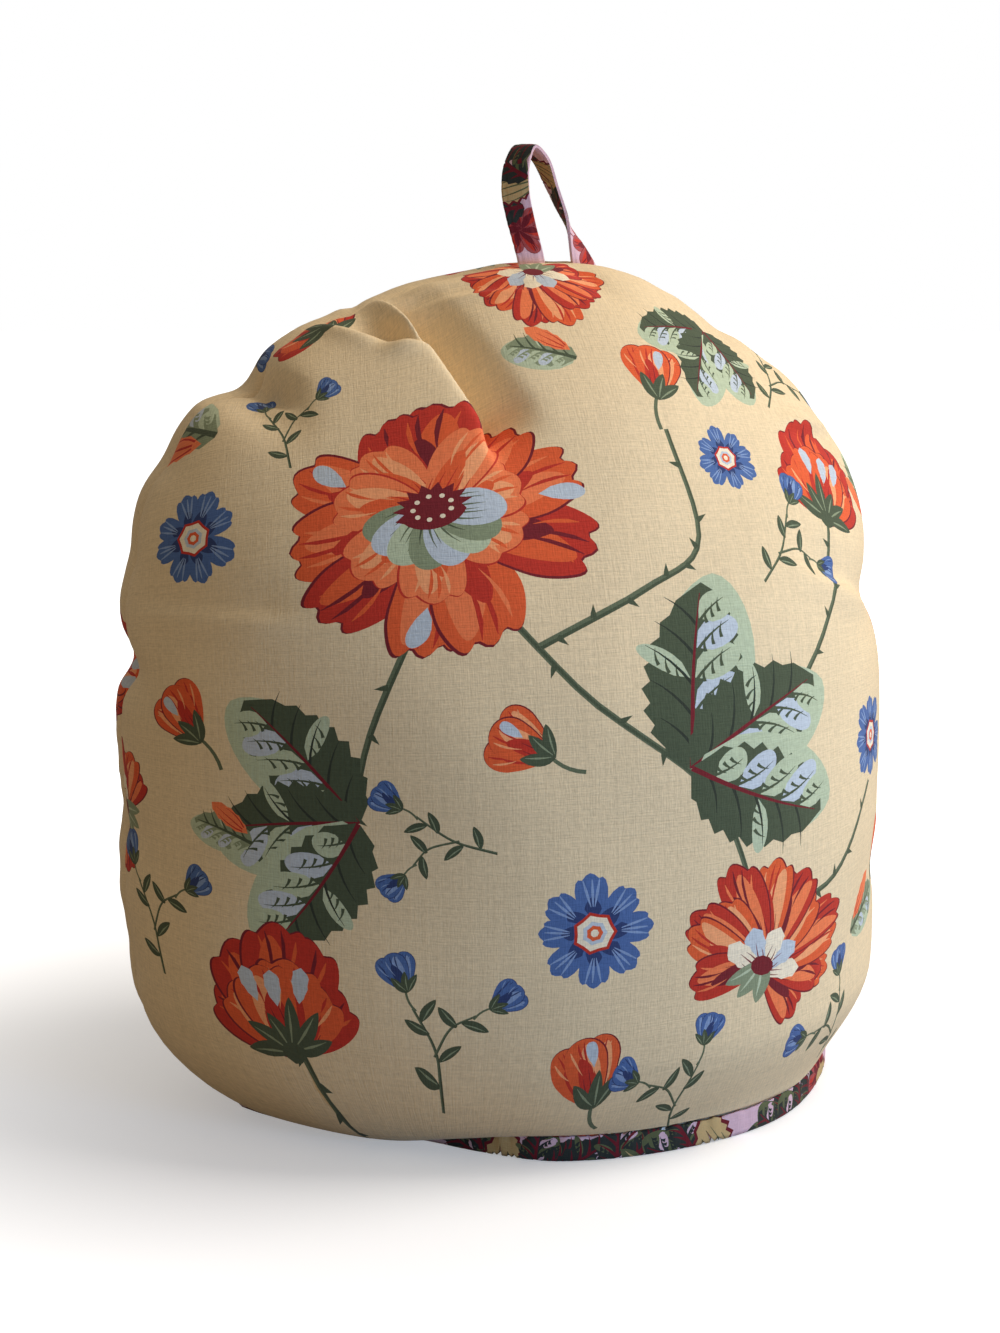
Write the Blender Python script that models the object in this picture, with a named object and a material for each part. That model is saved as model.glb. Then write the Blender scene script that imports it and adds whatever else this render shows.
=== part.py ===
"""Tea cosy: two padded panels sewn round their curved edge, a bound hem and a hanging loop.

Frame: metres, origin on the floor under the middle of the cosy, +Z up, X along the seam, the front
panel toward -Y. Lengths below are millimetres. Each panel is a filled shell worked out in its own
cloth: a runs across the panel, b up it, both from the widest height, and `side` is -1 for the front
panel and +1 for the back one.
"""

import math

import bmesh
import bpy
import numpy as np

GAP = 0.3  # between pieces that are sewn together
WIDEST = 118.0  # height of the widest section
EASE = 1.3  # cloth across a panel, as a share of the straight reach from its middle
MEET = math.radians(72.0)  # how far the cloth has turned away where it meets the seam

# Wadding either side of the panel's middle surface
OUTER_FILL, INNER_FILL, SEAM_FILL, SEAM_INSIDE, HEM_FILL = 9.0, 6.0, -1.0, 5.0, 2.2
SEAM_ROLL = 7.0  # how far from the seam the filling takes to rise
MIDDLE_X = 2.6  # the tables' middle lies this far left of the finished cosy's
LEAN = 9.0  # the seam leans back by this at the top

# Binding: one strip folded round both panels' bottom edges
BINDING_HIGH, BINDING_CLOTH = 9.0, 1.0
HEM_TOP = BINDING_HIGH + 0.5  # the panel is straight and thin up to here
HEM_ZONE = 34.0  # the filling rolls out over this much cloth above it

# Loop: a tape folded to this width and thickness
TAPE_WIDE, TAPE_THICK = 9.6, 1.7

# height, then reach of the middle surface to each side
SECTIONS = (
    # height, left, right, front, back
    (HEM_TOP, 94.0, 119.0, 73.5, 76.0),
    (35.0, 120.5, 129.5, 83.0, 82.0),
    (65.0, 127.0, 131.0, 87.0, 85.0),
    (95.0, 127.0, 132.0, 88.5, 86.0),
    (WIDEST, 126.5, 132.5, 88.5, 86.0),
)
# direction from the middle of the widest section, then reach of the seam
CROWN = (
    # bearing, reach
    (0.0, 132.5),
    (22.5, 139.5),
    (45.0, 159.0),
    (62.0, 162.0),
    (77.0, 167.5),
    (95.0, 161.5),
    (112.5, 158.0),
    (135.0, 153.0),
    (157.5, 135.0),
    (180.0, 126.5),
)
# along the hem: how far the filling sags over the binding, and how far the foot is tucked in
HEM = (
    # across (-1 left seam to 1 right seam), sag front, sag back, tuck front, tuck back
    (-1.0, 0.7, 0.7, 6.0, 6.0),
    (-0.75, 0.75, 0.5, 22.0, 6.0),
    (-0.45, 0.78, 0.5, 29.0, 2.0),
    (-0.2, 0.5, 0.4, 19.0, -2.0),
    (0.0, 0.25, 0.4, 6.0, 0.0),
    (0.25, 0.1, 0.4, -3.0, 2.0),
    (0.5, 0.05, 0.5, -8.0, 3.0),
    (0.75, 0.05, 0.5, -4.0, 2.0),
    (1.0, 0.2, 0.2, 0.0, 0.0),
)
TUCK_HIGH = 75.0  # the tuck fades out at this height
# places where the seam is drawn in, with a valley running from it into each panel
PULLS = (
    # bearing, depth, width, reach front, reach back
    (-18.0, 5.0, 9.0, 26.0, 20.0),
    (-6.0, 2.0, 9.0, 18.0, 24.0),
    (25.0, 6.5, 11.0, 34.0, 26.0),
    (46.0, 3.0, 9.0, 24.0, 30.0),
    (64.0, 1.5, 8.0, 30.0, 18.0),
    (108.0, 5.0, 8.0, 26.0, 20.0),
    (123.0, 10.0, 9.0, 26.0, 24.0),
    (136.0, 2.5, 8.0, 20.0, 26.0),
    (148.0, 2.0, 8.0, 18.0, 20.0),
    (162.0, 9.0, 8.0, 20.0, 28.0),
    (185.0, 2.0, 8.0, 18.0, 22.0),
    (204.0, 2.0, 10.0, 20.0, 20.0),
)
# folds within a panel, in its cloth; depth below 0 is a valley
FOLDS = {
    -1: (
        # a0, b0, a1, b1, depth0, depth1, width0, width1
        (-60.0, 186.0, -46.0, 156.0, -9.0, -5.0, 7.0, 5.0),
        (-47.0, 186.0, -22.0, 122.0, 5.0, 1.0, 7.0, 9.0),
        (-26.0, 184.0, -10.0, 116.0, -6.0, -1.5, 13.0, 14.0),
        (-96.0, 150.0, -74.0, 122.0, -4.0, 0.0, 9.0, 10.0),
        (30.0, 196.0, 44.0, 166.0, -2.0, 0.0, 6.0, 9.0),
    ),
    1: ((50.0, 170.0, 30.0, 110.0, -4.0, 0.0, 10.0, 14.0),),
}
# broad fullness and hollows, in the panel's cloth
SWELLS = {
    -1: (
        # a, b, across, up, amount
        (80.0, -20.0, 50.0, 90.0, 5.0),
        (-80.0, 10.0, 45.0, 70.0, -2.5),
    ),
    1: ((0.0, 60.0, 90.0, 60.0, -3.0),),
}

PANEL_ACROSS, PANEL_UP = 36, 29
HEM_ROWS, ZONE_ROWS = 2, 8  # rows of the grid in the straight edge and in the hem zone
SHELF, SHELF_STEP = 4.0, 1.0 / ZONE_ROWS  # the filling clears the binding by this, in one row
RING_STEPS, LOOP_STEPS = PANEL_ACROSS, 44

CLOTH, TRIM = (0.80, 0.66, 0.42), (0.45, 0.24, 0.27)  # linear colours

# round the binding's section: out from the hem's line, up from the floor
BINDING_SECTION = (
    # out, up
    (-3.0, 0.0),
    (3.0, 0.0),
    (3.6, 0.9),
    (3.6, 8.5),
    (3.1, BINDING_HIGH),
    (2.6, 8.5),
    (2.6, BINDING_CLOTH),
    (-2.6, BINDING_CLOTH),
    (-2.6, 8.5),
    (-3.1, BINDING_HIGH),
    (-3.6, 8.5),
    (-3.6, 0.9),
)
# the tape from its left root over the top to its right one; facing is the bearing of its width
LOOP = (
    # x, y, z, facing
    (13.7, 8.6, 0.0, 0.0),
    (12.2, 8.0, 289.0, -3.0),
    (9.0, 6.4, 299.0, -10.0),
    (6.8, 5.6, 309.5, -28.0),
    (7.8, 6.6, 318.5, -46.0),
    (11.0, 8.6, 323.4, -58.0),
    (16.2, 11.0, 320.0, -68.0),
    (21.2, 12.6, 310.5, -82.0),
    (26.0, 12.4, 299.5, -98.0),
    (29.8, 10.6, 290.0, -138.0),
    (32.4, 9.2, 0.0, -172.0),
)
ROOT_CLEAR = 0.4  # the tape ends this far above the seam's line, between the panels' rolls


def spline(x, xs, ys, first=None, last=None):
    """Smooth curve through the points (xs, ys), with a set slope at either end."""
    xs, ys = np.asarray(xs, float), np.asarray(ys, float)
    slope = np.gradient(ys, xs)
    slope[0] = slope[0] if first is None else first
    slope[-1] = slope[-1] if last is None else last
    i = np.clip(np.searchsorted(xs, x) - 1, 0, len(xs) - 2)
    h = xs[i + 1] - xs[i]
    q = (x - xs[i]) / h
    return (
        (2 * q**3 - 3 * q**2 + 1) * ys[i]
        + (q**3 - 2 * q**2 + q) * h * slope[i]
        + (3 * q**2 - 2 * q**3) * ys[i + 1]
        + (q**3 - q**2) * h * slope[i + 1]
    )


def section(z, column):
    """Reach of the middle surface at this height: column 1 left, 2 right, 3 front, 4 back."""
    rows = np.array(SECTIONS)
    return spline(np.clip(z, HEM_TOP, WIDEST), rows[:, 0], rows[:, column], last=0.0)


def crown(bearing):
    rows = np.array(CROWN)
    return spline(np.degrees(bearing), rows[:, 0], rows[:, 1], 0.0, 0.0)


def lean(z):
    return LEAN * np.clip(z / 280.0, 0.0, 1.2) ** 1.6


def run_out(t):
    """Share of the reach covered by a share t of the cloth from the middle to the seam."""
    return np.sin(MEET * t) / math.sin(MEET)


def stand_off(t):
    """Share of the panel's depth left there."""
    return (np.cos(MEET * t) - math.cos(MEET)) / (1 - math.cos(MEET))


def middle(a, b, side):
    """(points, share of the way to the seam, reach to the seam) of the middle surface."""
    a, b = np.broadcast_arrays(np.asarray(a, float), np.asarray(b, float))
    left = a < 0
    deep = section(WIDEST, 3 if side < 0 else 4)
    # above the widest height the cloth runs out from its middle like a dome
    up = np.maximum(b, 0.0)
    bearing = np.arctan2(up, a)
    reach = crown(np.clip(bearing, 0.0, math.pi))
    share = np.hypot(a, up) / (EASE * reach)
    run = reach * run_out(share)
    dome = np.stack(
        [run * np.cos(bearing), deep * stand_off(share), WIDEST + run * np.sin(bearing)], -1
    )
    # below it the cloth hangs in level sections
    down = np.maximum(-b, 0.0)
    wide = np.where(left, section(WIDEST, 1), section(WIDEST, 2))
    t = np.maximum(np.abs(a) / (EASE * wide), 1e-6)
    slack = run_out(t) / (EASE * t)
    drop = np.where(
        down < 60.0, slack * down + (1 - slack) * down**2 / 120.0, slack * 30.0 + down - 30.0
    )
    z = WIDEST - drop
    wide = np.where(left, section(z, 1), section(z, 2))
    t = np.abs(a) / (EASE * wide)
    skirt = np.stack(
        [np.sign(a) * wide * run_out(t), section(z, 3 if side < 0 else 4) * stand_off(t), z],
        -1,
    )
    above = (b >= 0)[..., None]
    point = np.where(above, dome, skirt)
    rows = np.array(HEM)
    across = np.clip(t * np.sign(a), -1.0, 1.0)
    tuck = spline(across, rows[:, 0], rows[:, 3 if side < 0 else 4])
    tuck = tuck * np.clip(1 - point[..., 2] / TUCK_HIGH, 0.0, 1.0) ** 2
    tuck = np.where(b < 0, tuck, 0.0) / np.maximum(np.hypot(point[..., 0], point[..., 1]), 1.0)
    point[..., 0] *= 1 - tuck
    point[..., 1] *= 1 - tuck
    point[..., 1] = side * (point[..., 1] + GAP / 2) + lean(point[..., 2])
    return point, np.where(b >= 0, share, t), np.where(b >= 0, reach, wide)


def outward(a, b, side, from_seam):
    """The way the filling stands out, turned into the seam's plane at the seam itself."""
    e = 0.5
    across = middle(a + e, b, side)[0] - middle(a - e, b, side)[0]
    up = middle(a, b + e, side)[0] - middle(a, b - e, side)[0]
    n = np.cross(across, up) * -side
    n /= np.linalg.norm(n, axis=-1, keepdims=True)
    n[..., 1] *= 1 - np.exp(-((from_seam / 9.0) ** 2))
    return n / np.linalg.norm(n, axis=-1, keepdims=True)


def cloth_at(z, share, left, side):
    """The panel's cloth (a, b) at this height and share of the way to the seam, below WIDEST."""
    wide = np.where(left, section(z, 1), section(z, 2))
    a = share * EASE * wide * np.where(left, -1, 1)
    top = np.where(left, section(WIDEST, 1), section(WIDEST, 2))
    t = np.maximum(np.abs(a) / (EASE * top), 1e-6)
    slack = run_out(t) / (EASE * t)
    drop = WIDEST - z
    # slack*down + (1-slack)*down^2/120 = drop
    c = (1 - slack) / 120.0
    near = 2 * drop / (slack + np.sqrt(slack**2 + 4 * c * drop))
    down = np.where(near < 60.0, near, drop - slack * 30.0 + 30.0)
    return a, -down


def fold_height(a, b, side):
    """Ridges, valleys and broad swells of the panel's outside."""
    total = np.zeros(np.shape(a))
    for a0, b0, a1, b1, depth0, depth1, width0, width1 in FOLDS[side]:
        long = math.hypot(a1 - a0, b1 - b0)
        along = ((a - a0) * (a1 - a0) + (b - b0) * (b1 - b0)) / long**2
        across = ((b - b0) * (a1 - a0) - (a - a0) * (b1 - b0)) / long
        q = np.clip(along, 0.0, 1.0)
        past = np.abs(along - q) * long
        width = width0 + (width1 - width0) * q
        depth = depth0 + (depth1 - depth0) * q * q * (3 - 2 * q)
        total += depth * np.exp(-((across / width) ** 2) - (past / width) ** 2)
    for a0, b0, wide, tall, amount in SWELLS[side]:
        total += amount * np.exp(-(((a - a0) / wide) ** 2) - ((b - b0) / tall) ** 2)
    return total


def pull(point, from_seam, side, short=1.0):
    """How far the seam's gathers draw the cloth in here."""
    x, z = point[..., 0], point[..., 2] - WIDEST
    bearing = np.degrees(np.arctan2(z, x)) % 360.0
    bearing = np.where(bearing > 270.0, bearing - 360.0, bearing)
    radius = np.maximum(np.hypot(x, z), 1.0)
    total = np.zeros(np.shape(x))
    for at, depth, width, front, back in PULLS:
        off = np.radians(bearing - at) * radius
        reach = (front if side < 0 else back) * short
        total += depth * np.exp(-((off / width) ** 2) - (from_seam / reach) ** 1.6)
    return total


def panel_point(a, b, side, layer):
    """Outside (layer 1) or inside (layer 0) of the filled panel."""
    point, share, reach = middle(a, b, side)
    from_seam = np.maximum(1 - share, 0.0) * EASE * reach
    n = outward(a, b, side, from_seam)
    rise = 1 - np.exp(-from_seam / SEAM_ROLL)
    soft = 1 - np.exp(-((from_seam / 16.0) ** 2))
    outside = SEAM_FILL + (OUTER_FILL - SEAM_FILL) * rise + fold_height(a, b, side) * soft
    outside = outside - pull(point, from_seam, side)
    inside = SEAM_INSIDE + (INNER_FILL - SEAM_INSIDE) * soft + pull(point, from_seam, side, 0.5)
    return point + n * np.where(layer > 0.5, outside, -inside)[..., None]


def hem_foot(across, side):
    """Point of the middle surface at HEM_TOP, and the level way out from it."""
    left, share = across < 0, np.abs(across)
    a, b = cloth_at(HEM_TOP, share, left, side)
    foot, _, reach = middle(a, b, side)
    n = outward(a, b, side, (1 - share) * EASE * reach)
    n[..., 2] = 0.0
    return foot, n / np.linalg.norm(n, axis=-1, keepdims=True)


def hem_point(across, up, side, layer):
    """The panel from its bottom edge to the top of the hem zone; up is 0 at HEM_TOP, 1 at the top."""
    left, share = across < 0, np.abs(across)
    outside = (layer > 0.5)[..., None]
    foot, out = hem_foot(across, side)
    edge = foot + out * np.where(outside, HEM_FILL, -HEM_FILL)
    edge[..., 2] = HEM_TOP
    start = edge + np.where(outside, out * (SHELF - HEM_FILL), 0.0)
    end, below = (
        panel_point(*cloth_at(HEM_TOP + HEM_ZONE - drop, share, left, side), side, layer)
        for drop in (0.0, 1.0)
    )
    rise = end - below
    rise /= np.linalg.norm(rise, axis=-1, keepdims=True)
    rows = np.array(HEM)
    sag = spline(across, rows[:, 0], rows[:, 1 if side < 0 else 2])[..., None]
    seam = np.exp(-((1 - share) * EASE * 108.0 / 9.0))[..., None]
    sag = np.where(outside, sag * (1 - 0.5 * seam), 0.0)
    outer = np.where(outside, 1 - seam, 0.0)
    lift = np.zeros_like(out)
    lift[..., 2] = 1.0
    handle_1 = start + outer * out * (2.0 + 5.0 * sag) + lift * 9.0 * (1 - 4.0 * sag)
    handle_2 = end - rise * (12.0 + 16.0 * sag) + outer * out * 4.0 * sag
    q = np.clip((up - SHELF_STEP) / (1 - SHELF_STEP), 0.0, 1.0)[..., None]
    arc = (
        start * (1 - q) ** 3
        + handle_1 * 3 * q * (1 - q) ** 2
        + handle_2 * 3 * q**2 * (1 - q)
        + end * q**3
    )
    step = np.clip(up / SHELF_STEP, 0.0, 1.0)[..., None]
    arc = np.where(up[..., None] < SHELF_STEP, edge + (start - edge) * step, arc)
    bottom = BINDING_CLOTH + GAP
    arc[..., 2] += np.minimum(up, 0.0) * (HEM_TOP - bottom)
    return arc


def place(u, v, side, layer):
    """A point of the panel: u -1 to 1 across it, v 0 at the bottom edge to 1 at the top seam."""
    straight, zone = HEM_ROWS / PANEL_UP, (HEM_ROWS + ZONE_ROWS) / PANEL_UP
    up = np.where(v < straight, v / straight - 1.0, (v - straight) / (zone - straight))
    low = hem_point(u, up, side, layer)
    # above the hem zone: a patch whose sides are the zone's top and the seam
    w = np.clip((v - zone) / (1 - zone), 0.0, 1.0)
    corner = math.radians(40.0)
    z0 = HEM_TOP + HEM_ZONE

    def seam_cloth(q, left):
        """Cloth on the seam: q 0 at the zone's top to 1 at the corner."""
        flat_q = 0.42
        z = z0 + (WIDEST - z0) * np.clip(q / flat_q, 0.0, 1.0)
        a_low, b_low = cloth_at(z, 1.0, left, side)
        angle = corner * np.clip((q - flat_q) / (1 - flat_q), 0.0, 1.0)
        bearing = np.where(left, math.pi - angle, angle)
        reach = EASE * crown(bearing)
        high = q > flat_q
        return (
            np.where(high, reach * np.cos(bearing), a_low),
            np.where(high, reach * np.sin(bearing), b_low),
        )

    def top_cloth(p):
        bearing = math.pi / 2 - p * (math.pi / 2 - corner)
        reach = EASE * crown(bearing)
        return reach * np.cos(bearing), reach * np.sin(bearing)

    bottom = cloth_at(z0, np.abs(u), u < 0, side)
    top = top_cloth(u)
    sides = [seam_cloth(w, np.full(np.shape(w), s)) for s in (True, False)]
    corners = [
        [cloth_at(z0, 1.0, True, side), cloth_at(z0, 1.0, False, side)],
        [top_cloth(-1.0), top_cloth(1.0)],
    ]
    p = (u + 1) / 2
    cloth = [
        (1 - w) * bottom[k]
        + w * top[k]
        + (1 - p) * sides[0][k]
        + p * sides[1][k]
        - (1 - w) * ((1 - p) * corners[0][0][k] + p * corners[0][1][k])
        - w * ((1 - p) * corners[1][0][k] + p * corners[1][1][k])
        for k in (0, 1)
    ]
    high = panel_point(cloth[0], cloth[1], side, layer)
    return np.where((v < zone - 1e-9)[..., None], low, high)


def cloth_colour(name, colour):
    material = bpy.data.materials.new(name)
    material.use_nodes = True
    shader = material.node_tree.nodes["Principled BSDF"]
    shader.inputs["Base Color"].default_value = (*colour, 1.0)
    shader.inputs["Roughness"].default_value = 0.85
    return material


def finished(name, shape, colour, collection):
    """The bmesh as one object of this name, its faces turned outward."""
    bmesh.ops.recalc_face_normals(shape, faces=shape.faces[:])
    if shape.calc_volume(signed=True) < 0:
        bmesh.ops.reverse_faces(shape, faces=shape.faces[:])
    mesh = bpy.data.meshes.new(name)
    shape.to_mesh(mesh)
    shape.free()
    mesh.shade_smooth()
    mesh.set_sharp_from_angle(angle=math.radians(50.0))
    mesh.materials.append(cloth_colour(name, colour))
    obj = bpy.data.objects.new(name, mesh)
    collection.objects.link(obj)
    return obj


def blank(across, up, thick=True):
    """A flat gridded blank: the bmesh, its points' places -1 to 1 both ways, and their layer."""
    shape = bmesh.new()
    bmesh.ops.create_grid(shape, x_segments=across, y_segments=up, size=1.0)
    if thick:
        bmesh.ops.solidify(shape, geom=shape.faces[:], thickness=1.0)
    at = np.array([v.co[:] for v in shape.verts])
    return shape, at[:, 0], at[:, 1], (at[:, 2] > at[:, 2].mean()).astype(float)


def bend(shape, points):
    for vert, point in zip(shape.verts, points):
        vert.co = (point - (MIDDLE_X, 0.0, 0.0)) * 0.001


def panel(name, side, colour, collection):
    """A two-layer blank bent to the filled panel's shape."""
    shape, u, v, layer = blank(PANEL_ACROSS, PANEL_UP)
    bend(shape, place(u, (v + 1) / 2, side, layer))
    return finished(name, shape, colour, collection)


def binding(collection):
    """One strip folded round the bottom edge of both panels, joined end to end."""
    across = np.linspace(-1, 1, RING_STEPS + 1)
    front, front_out = hem_foot(across, -1)
    back, back_out = hem_foot(-across[1:-1], 1)
    foot, out = np.concatenate([front, back]), np.concatenate([front_out, back_out])
    section_out, section_up = np.array(BINDING_SECTION).T
    count, round_it = len(foot), len(BINDING_SECTION)
    shape, u, v, _ = blank(count, round_it, thick=False)
    i = np.rint((u + 1) / 2 * count).astype(int) % count
    k = np.rint((v + 1) / 2 * round_it).astype(int) % round_it
    points = foot[i] + out[i] * section_out[k][:, None]
    points[:, 2] = section_up[k]
    bend(shape, points)
    bmesh.ops.remove_doubles(shape, verts=shape.verts[:], dist=0.00001)
    return finished("hem_binding", shape, TRIM, collection)


def seam_top(x):
    """Height of the seam's line over this x, at the top of the cosy."""
    bearing = np.radians(np.linspace(55.0, 120.0, 261))
    reach = crown(bearing)
    return np.interp(-x, -reach * np.cos(bearing), WIDEST + reach * np.sin(bearing))


def loop(collection):
    """The tape, flat in the seam at both roots and half turned over in between."""
    rows = np.array(LOOP)
    for row in (rows[0], rows[-1]):
        edges = row[0] + TAPE_WIDE / 2 * np.array([-1.0, 0.0, 1.0])
        row[2] = seam_top(edges).max() + SEAM_FILL + ROOT_CLEAR
    gone = np.concatenate([[0.0], np.cumsum(np.linalg.norm(np.diff(rows[:, :3], axis=0), axis=1))])
    at = np.linspace(0.0, gone[-1], LOOP_STEPS + 1)
    x, y, z, facing = (spline(at, gone, rows[:, k]) for k in range(4))
    path = np.stack([x, y, z], -1)
    wide = np.stack([np.cos(np.radians(facing)), np.sin(np.radians(facing)), 0 * x], -1)
    along = np.gradient(path, axis=0)
    along[0] = along[-1] = (0.0, 0.0, 1.0)
    along[-1] *= -1
    face = np.cross(wide, along)
    face /= np.linalg.norm(face, axis=1, keepdims=True)
    shape, u, v, layer = blank(LOOP_STEPS, 4)
    i = np.rint((u + 1) / 2 * LOOP_STEPS).astype(int)
    thick = TAPE_THICK * (1 - 0.4 * v**4) * (layer - 0.5)
    points = path[i] + wide[i] * (v * TAPE_WIDE / 2)[:, None] + face[i] * thick[:, None]
    bend(shape, points)
    return finished("hanging_loop", shape, TRIM, collection)


def main():
    for obj in list(bpy.data.objects):
        bpy.data.objects.remove(obj)
    cosy = bpy.data.collections.new("tea_cosy")
    bpy.context.scene.collection.children.link(cosy)
    panel("panel_front", -1, CLOTH, cosy)
    panel("panel_back", 1, CLOTH, cosy)
    binding(cosy)
    loop(cosy)


main()
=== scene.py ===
"""Tea cosy, dressed: printed linen panels over wadding, a bound hem and a hanging loop.

Lengths in the tables are millimetres, in the part's frame. Each panel is cut flat from printed
cloth: a runs across it, b up it, both from the widest height, and `side` is -1 for the front panel
and +1 for the back one. The print is a generic floral drawn by the functions under "Print".
"""

import math

import bpy
import numpy as np
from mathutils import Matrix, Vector
from mathutils.geometry import delaunay_2d_cdt


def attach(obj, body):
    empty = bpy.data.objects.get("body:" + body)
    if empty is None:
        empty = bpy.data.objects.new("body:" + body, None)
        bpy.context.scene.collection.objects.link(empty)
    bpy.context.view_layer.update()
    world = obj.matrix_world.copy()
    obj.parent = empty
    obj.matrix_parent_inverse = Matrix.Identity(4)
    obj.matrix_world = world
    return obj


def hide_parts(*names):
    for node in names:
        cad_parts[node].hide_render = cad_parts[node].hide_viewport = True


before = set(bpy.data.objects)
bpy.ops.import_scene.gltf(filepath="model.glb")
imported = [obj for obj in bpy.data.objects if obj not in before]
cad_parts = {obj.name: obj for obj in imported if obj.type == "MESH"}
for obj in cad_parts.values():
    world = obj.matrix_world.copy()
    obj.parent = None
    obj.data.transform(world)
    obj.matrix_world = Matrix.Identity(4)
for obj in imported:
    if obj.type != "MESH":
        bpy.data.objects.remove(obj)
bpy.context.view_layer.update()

# ---- Shape: the panels' surface, as in the part but with finer and deeper folds ----

GAP = 0.3  # between pieces that are sewn together
WIDEST = 118.0  # height of the widest section
EASE = 1.3  # cloth across a panel, as a share of the straight reach from its middle
MEET = math.radians(72.0)  # how far the cloth has turned away where it meets the seam

# Wadding either side of the panel's middle surface
OUTER_FILL, INNER_FILL, SEAM_FILL, SEAM_INSIDE, HEM_FILL = 9.0, 6.0, -1.0, 5.0, 2.2
SEAM_ROLL = 7.0  # how far from the seam the filling takes to rise
SOFT_ZONE = 16.0  # and how far the folds do
FILLING_GIVES = 3.0  # a fold this deep stays within the filling
TURN_ZONE = 9.0  # this near the seam the filling stands out within the seam's plane
MIDDLE_X = 2.6  # the tables' middle lies this far left of the finished cosy's
LEAN, LEAN_HIGH = 9.0, 280.0  # the seam leans back by the first at the height of the second
SETTLE = 60.0  # below WIDEST, slack cloth takes this much height to hang level

# Binding: one strip folded round both panels' bottom edges
BINDING_HIGH, BINDING_CLOTH = 9.0, 1.0
FOOT = BINDING_CLOTH + GAP  # height of the panels' raw edge, inside the binding
HEM_TOP = BINDING_HIGH + 0.5  # the panel is straight and thin up to here
HEM_REACH = 108.0  # from the middle of the hem to either seam, on the whole
HEM_ZONE = 34.0  # the filling rolls out over this much cloth above it

# Loop: a tape folded to this width and thickness
TAPE_WIDE, TAPE_THICK = 9.6, 1.7

# height, then reach of the middle surface to each side
SECTIONS = (
    # height, left, right, front, back
    (HEM_TOP, 94, 119, 73.5, 76),
    (35, 120.5, 129.5, 83, 82),
    (65, 127, 131, 87, 85),
    (95, 127, 132, 88.5, 86),
    (WIDEST, 126.5, 132.5, 88.5, 86),
)
# direction from the middle of the widest section, then reach of the seam
CROWN = (
    # bearing, reach
    (0, 132.5),
    (22.5, 139.5),
    (45, 159),
    (62, 162),
    (77, 167.5),
    (95, 161.5),
    (112.5, 158),
    (135, 153),
    (157.5, 135),
    (180, 126.5),
)
# along the hem: how far the filling sags over the binding, and how far the foot is tucked in
HEM = (
    # across (-1 left seam to 1 right seam), sag front, sag back, tuck front, tuck back
    (-1, 0.7, 0.7, 6, 6),
    (-0.75, 0.75, 0.5, 22, 6),
    (-0.45, 0.78, 0.5, 29, 2),
    (-0.2, 0.5, 0.4, 19, -2),
    (0, 0.25, 0.4, 6, 0),
    (0.25, 0.1, 0.4, -3, 2),
    (0.5, 0.05, 0.5, -8, 3),
    (0.75, 0.05, 0.5, -4, 2),
    (1, 0.2, 0.2, 0, 0),
)
TUCK_HIGH = 75.0  # the tuck fades out at this height
# places where the seam is drawn in, with a valley running from it into each panel
PULLS = (
    # bearing, depth, width, reach front, reach back
    (-18, 5, 9, 26, 20),
    (-6, 2, 9, 18, 24),
    (25, 6.5, 11, 34, 26),
    (46, 3, 9, 24, 30),
    (64, 1.5, 8, 30, 18),
    (108, 1.5, 8, 26, 20),
    (123, 10, 9, 26, 24),
    (136, 2.5, 8, 20, 26),
    (148, 2, 8, 18, 20),
    (162, 9, 8, 20, 28),
    (185, 2, 8, 18, 22),
    (204, 2, 10, 20, 20),
)
# folds within a panel, in its cloth; depth below 0 is a valley
FOLDS = {
    -1: (
        # a0, b0, a1, b1, depth0, depth1, width0, width1
        (-60, 186, -50, 165, -9, -5, 7, 5),
        (-47, 186, -22, 122, 1, 0.5, 11, 12),
        (-26, 184, -10, 116, -2, -1, 13, 14),
        (-96, 150, -74, 122, -4, 0, 9, 10),
        (30, 196, 44, 166, -2, 0, 6, 9),
    ),
    1: ((50, 170, 30, 110, -4, 0, 10, 14),),
}
# broad fullness and hollows, in the panel's cloth
SWELLS = {
    -1: (
        # a, b, across, up, amount
        (80, -20, 50, 90, 5),
        (-80, 10, 45, 70, -2.5),
    ),
    1: ((0, 60, 90, 60, -3),),
}

SHELF, SHELF_STEP = 4.0, 1.0 / 8  # the filling clears the binding by this, in one row

# the tape from its left root over the top to its right one; facing is the bearing of its width
LOOP = (
    # x, y, z, facing
    (13.7, 8.6, 0, 0),
    (12.2, 8, 289, -3),
    (9, 6.4, 299, -10),
    (6.8, 5.6, 309.5, -28),
    (7.8, 6.6, 318.5, -46),
    (11, 8.6, 323.4, -58),
    (16.2, 11, 320, -68),
    (21.2, 12.6, 310.5, -82),
    (26, 12.4, 299.5, -98),
    (29.8, 10.6, 290, -138),
    (32.4, 9.2, 0, -172),
)
ROOT_CLEAR = 0.4  # the tape ends this far above the seam's line, between the panels' rolls


def spline(x, xs, ys, first=None, last=None):
    """Smooth curve through the points (xs, ys), with a set slope at either end."""
    xs, ys = np.asarray(xs, float), np.asarray(ys, float)
    slope = np.gradient(ys, xs)
    slope[0] = slope[0] if first is None else first
    slope[-1] = slope[-1] if last is None else last
    i = np.clip(np.searchsorted(xs, x) - 1, 0, len(xs) - 2)
    h = xs[i + 1] - xs[i]
    q = (x - xs[i]) / h
    return (
        (2 * q**3 - 3 * q**2 + 1) * ys[i]
        + (q**3 - 2 * q**2 + q) * h * slope[i]
        + (3 * q**2 - 2 * q**3) * ys[i + 1]
        + (q**3 - q**2) * h * slope[i + 1]
    )


def bell(x, wide):
    """1 at the middle, falling to 0 either side."""
    return np.exp(-((x / wide) ** 2))


def unit(vectors):
    """The vectors at length 1."""
    return vectors / np.maximum(np.linalg.norm(vectors, axis=-1, keepdims=True), 1e-9)


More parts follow.
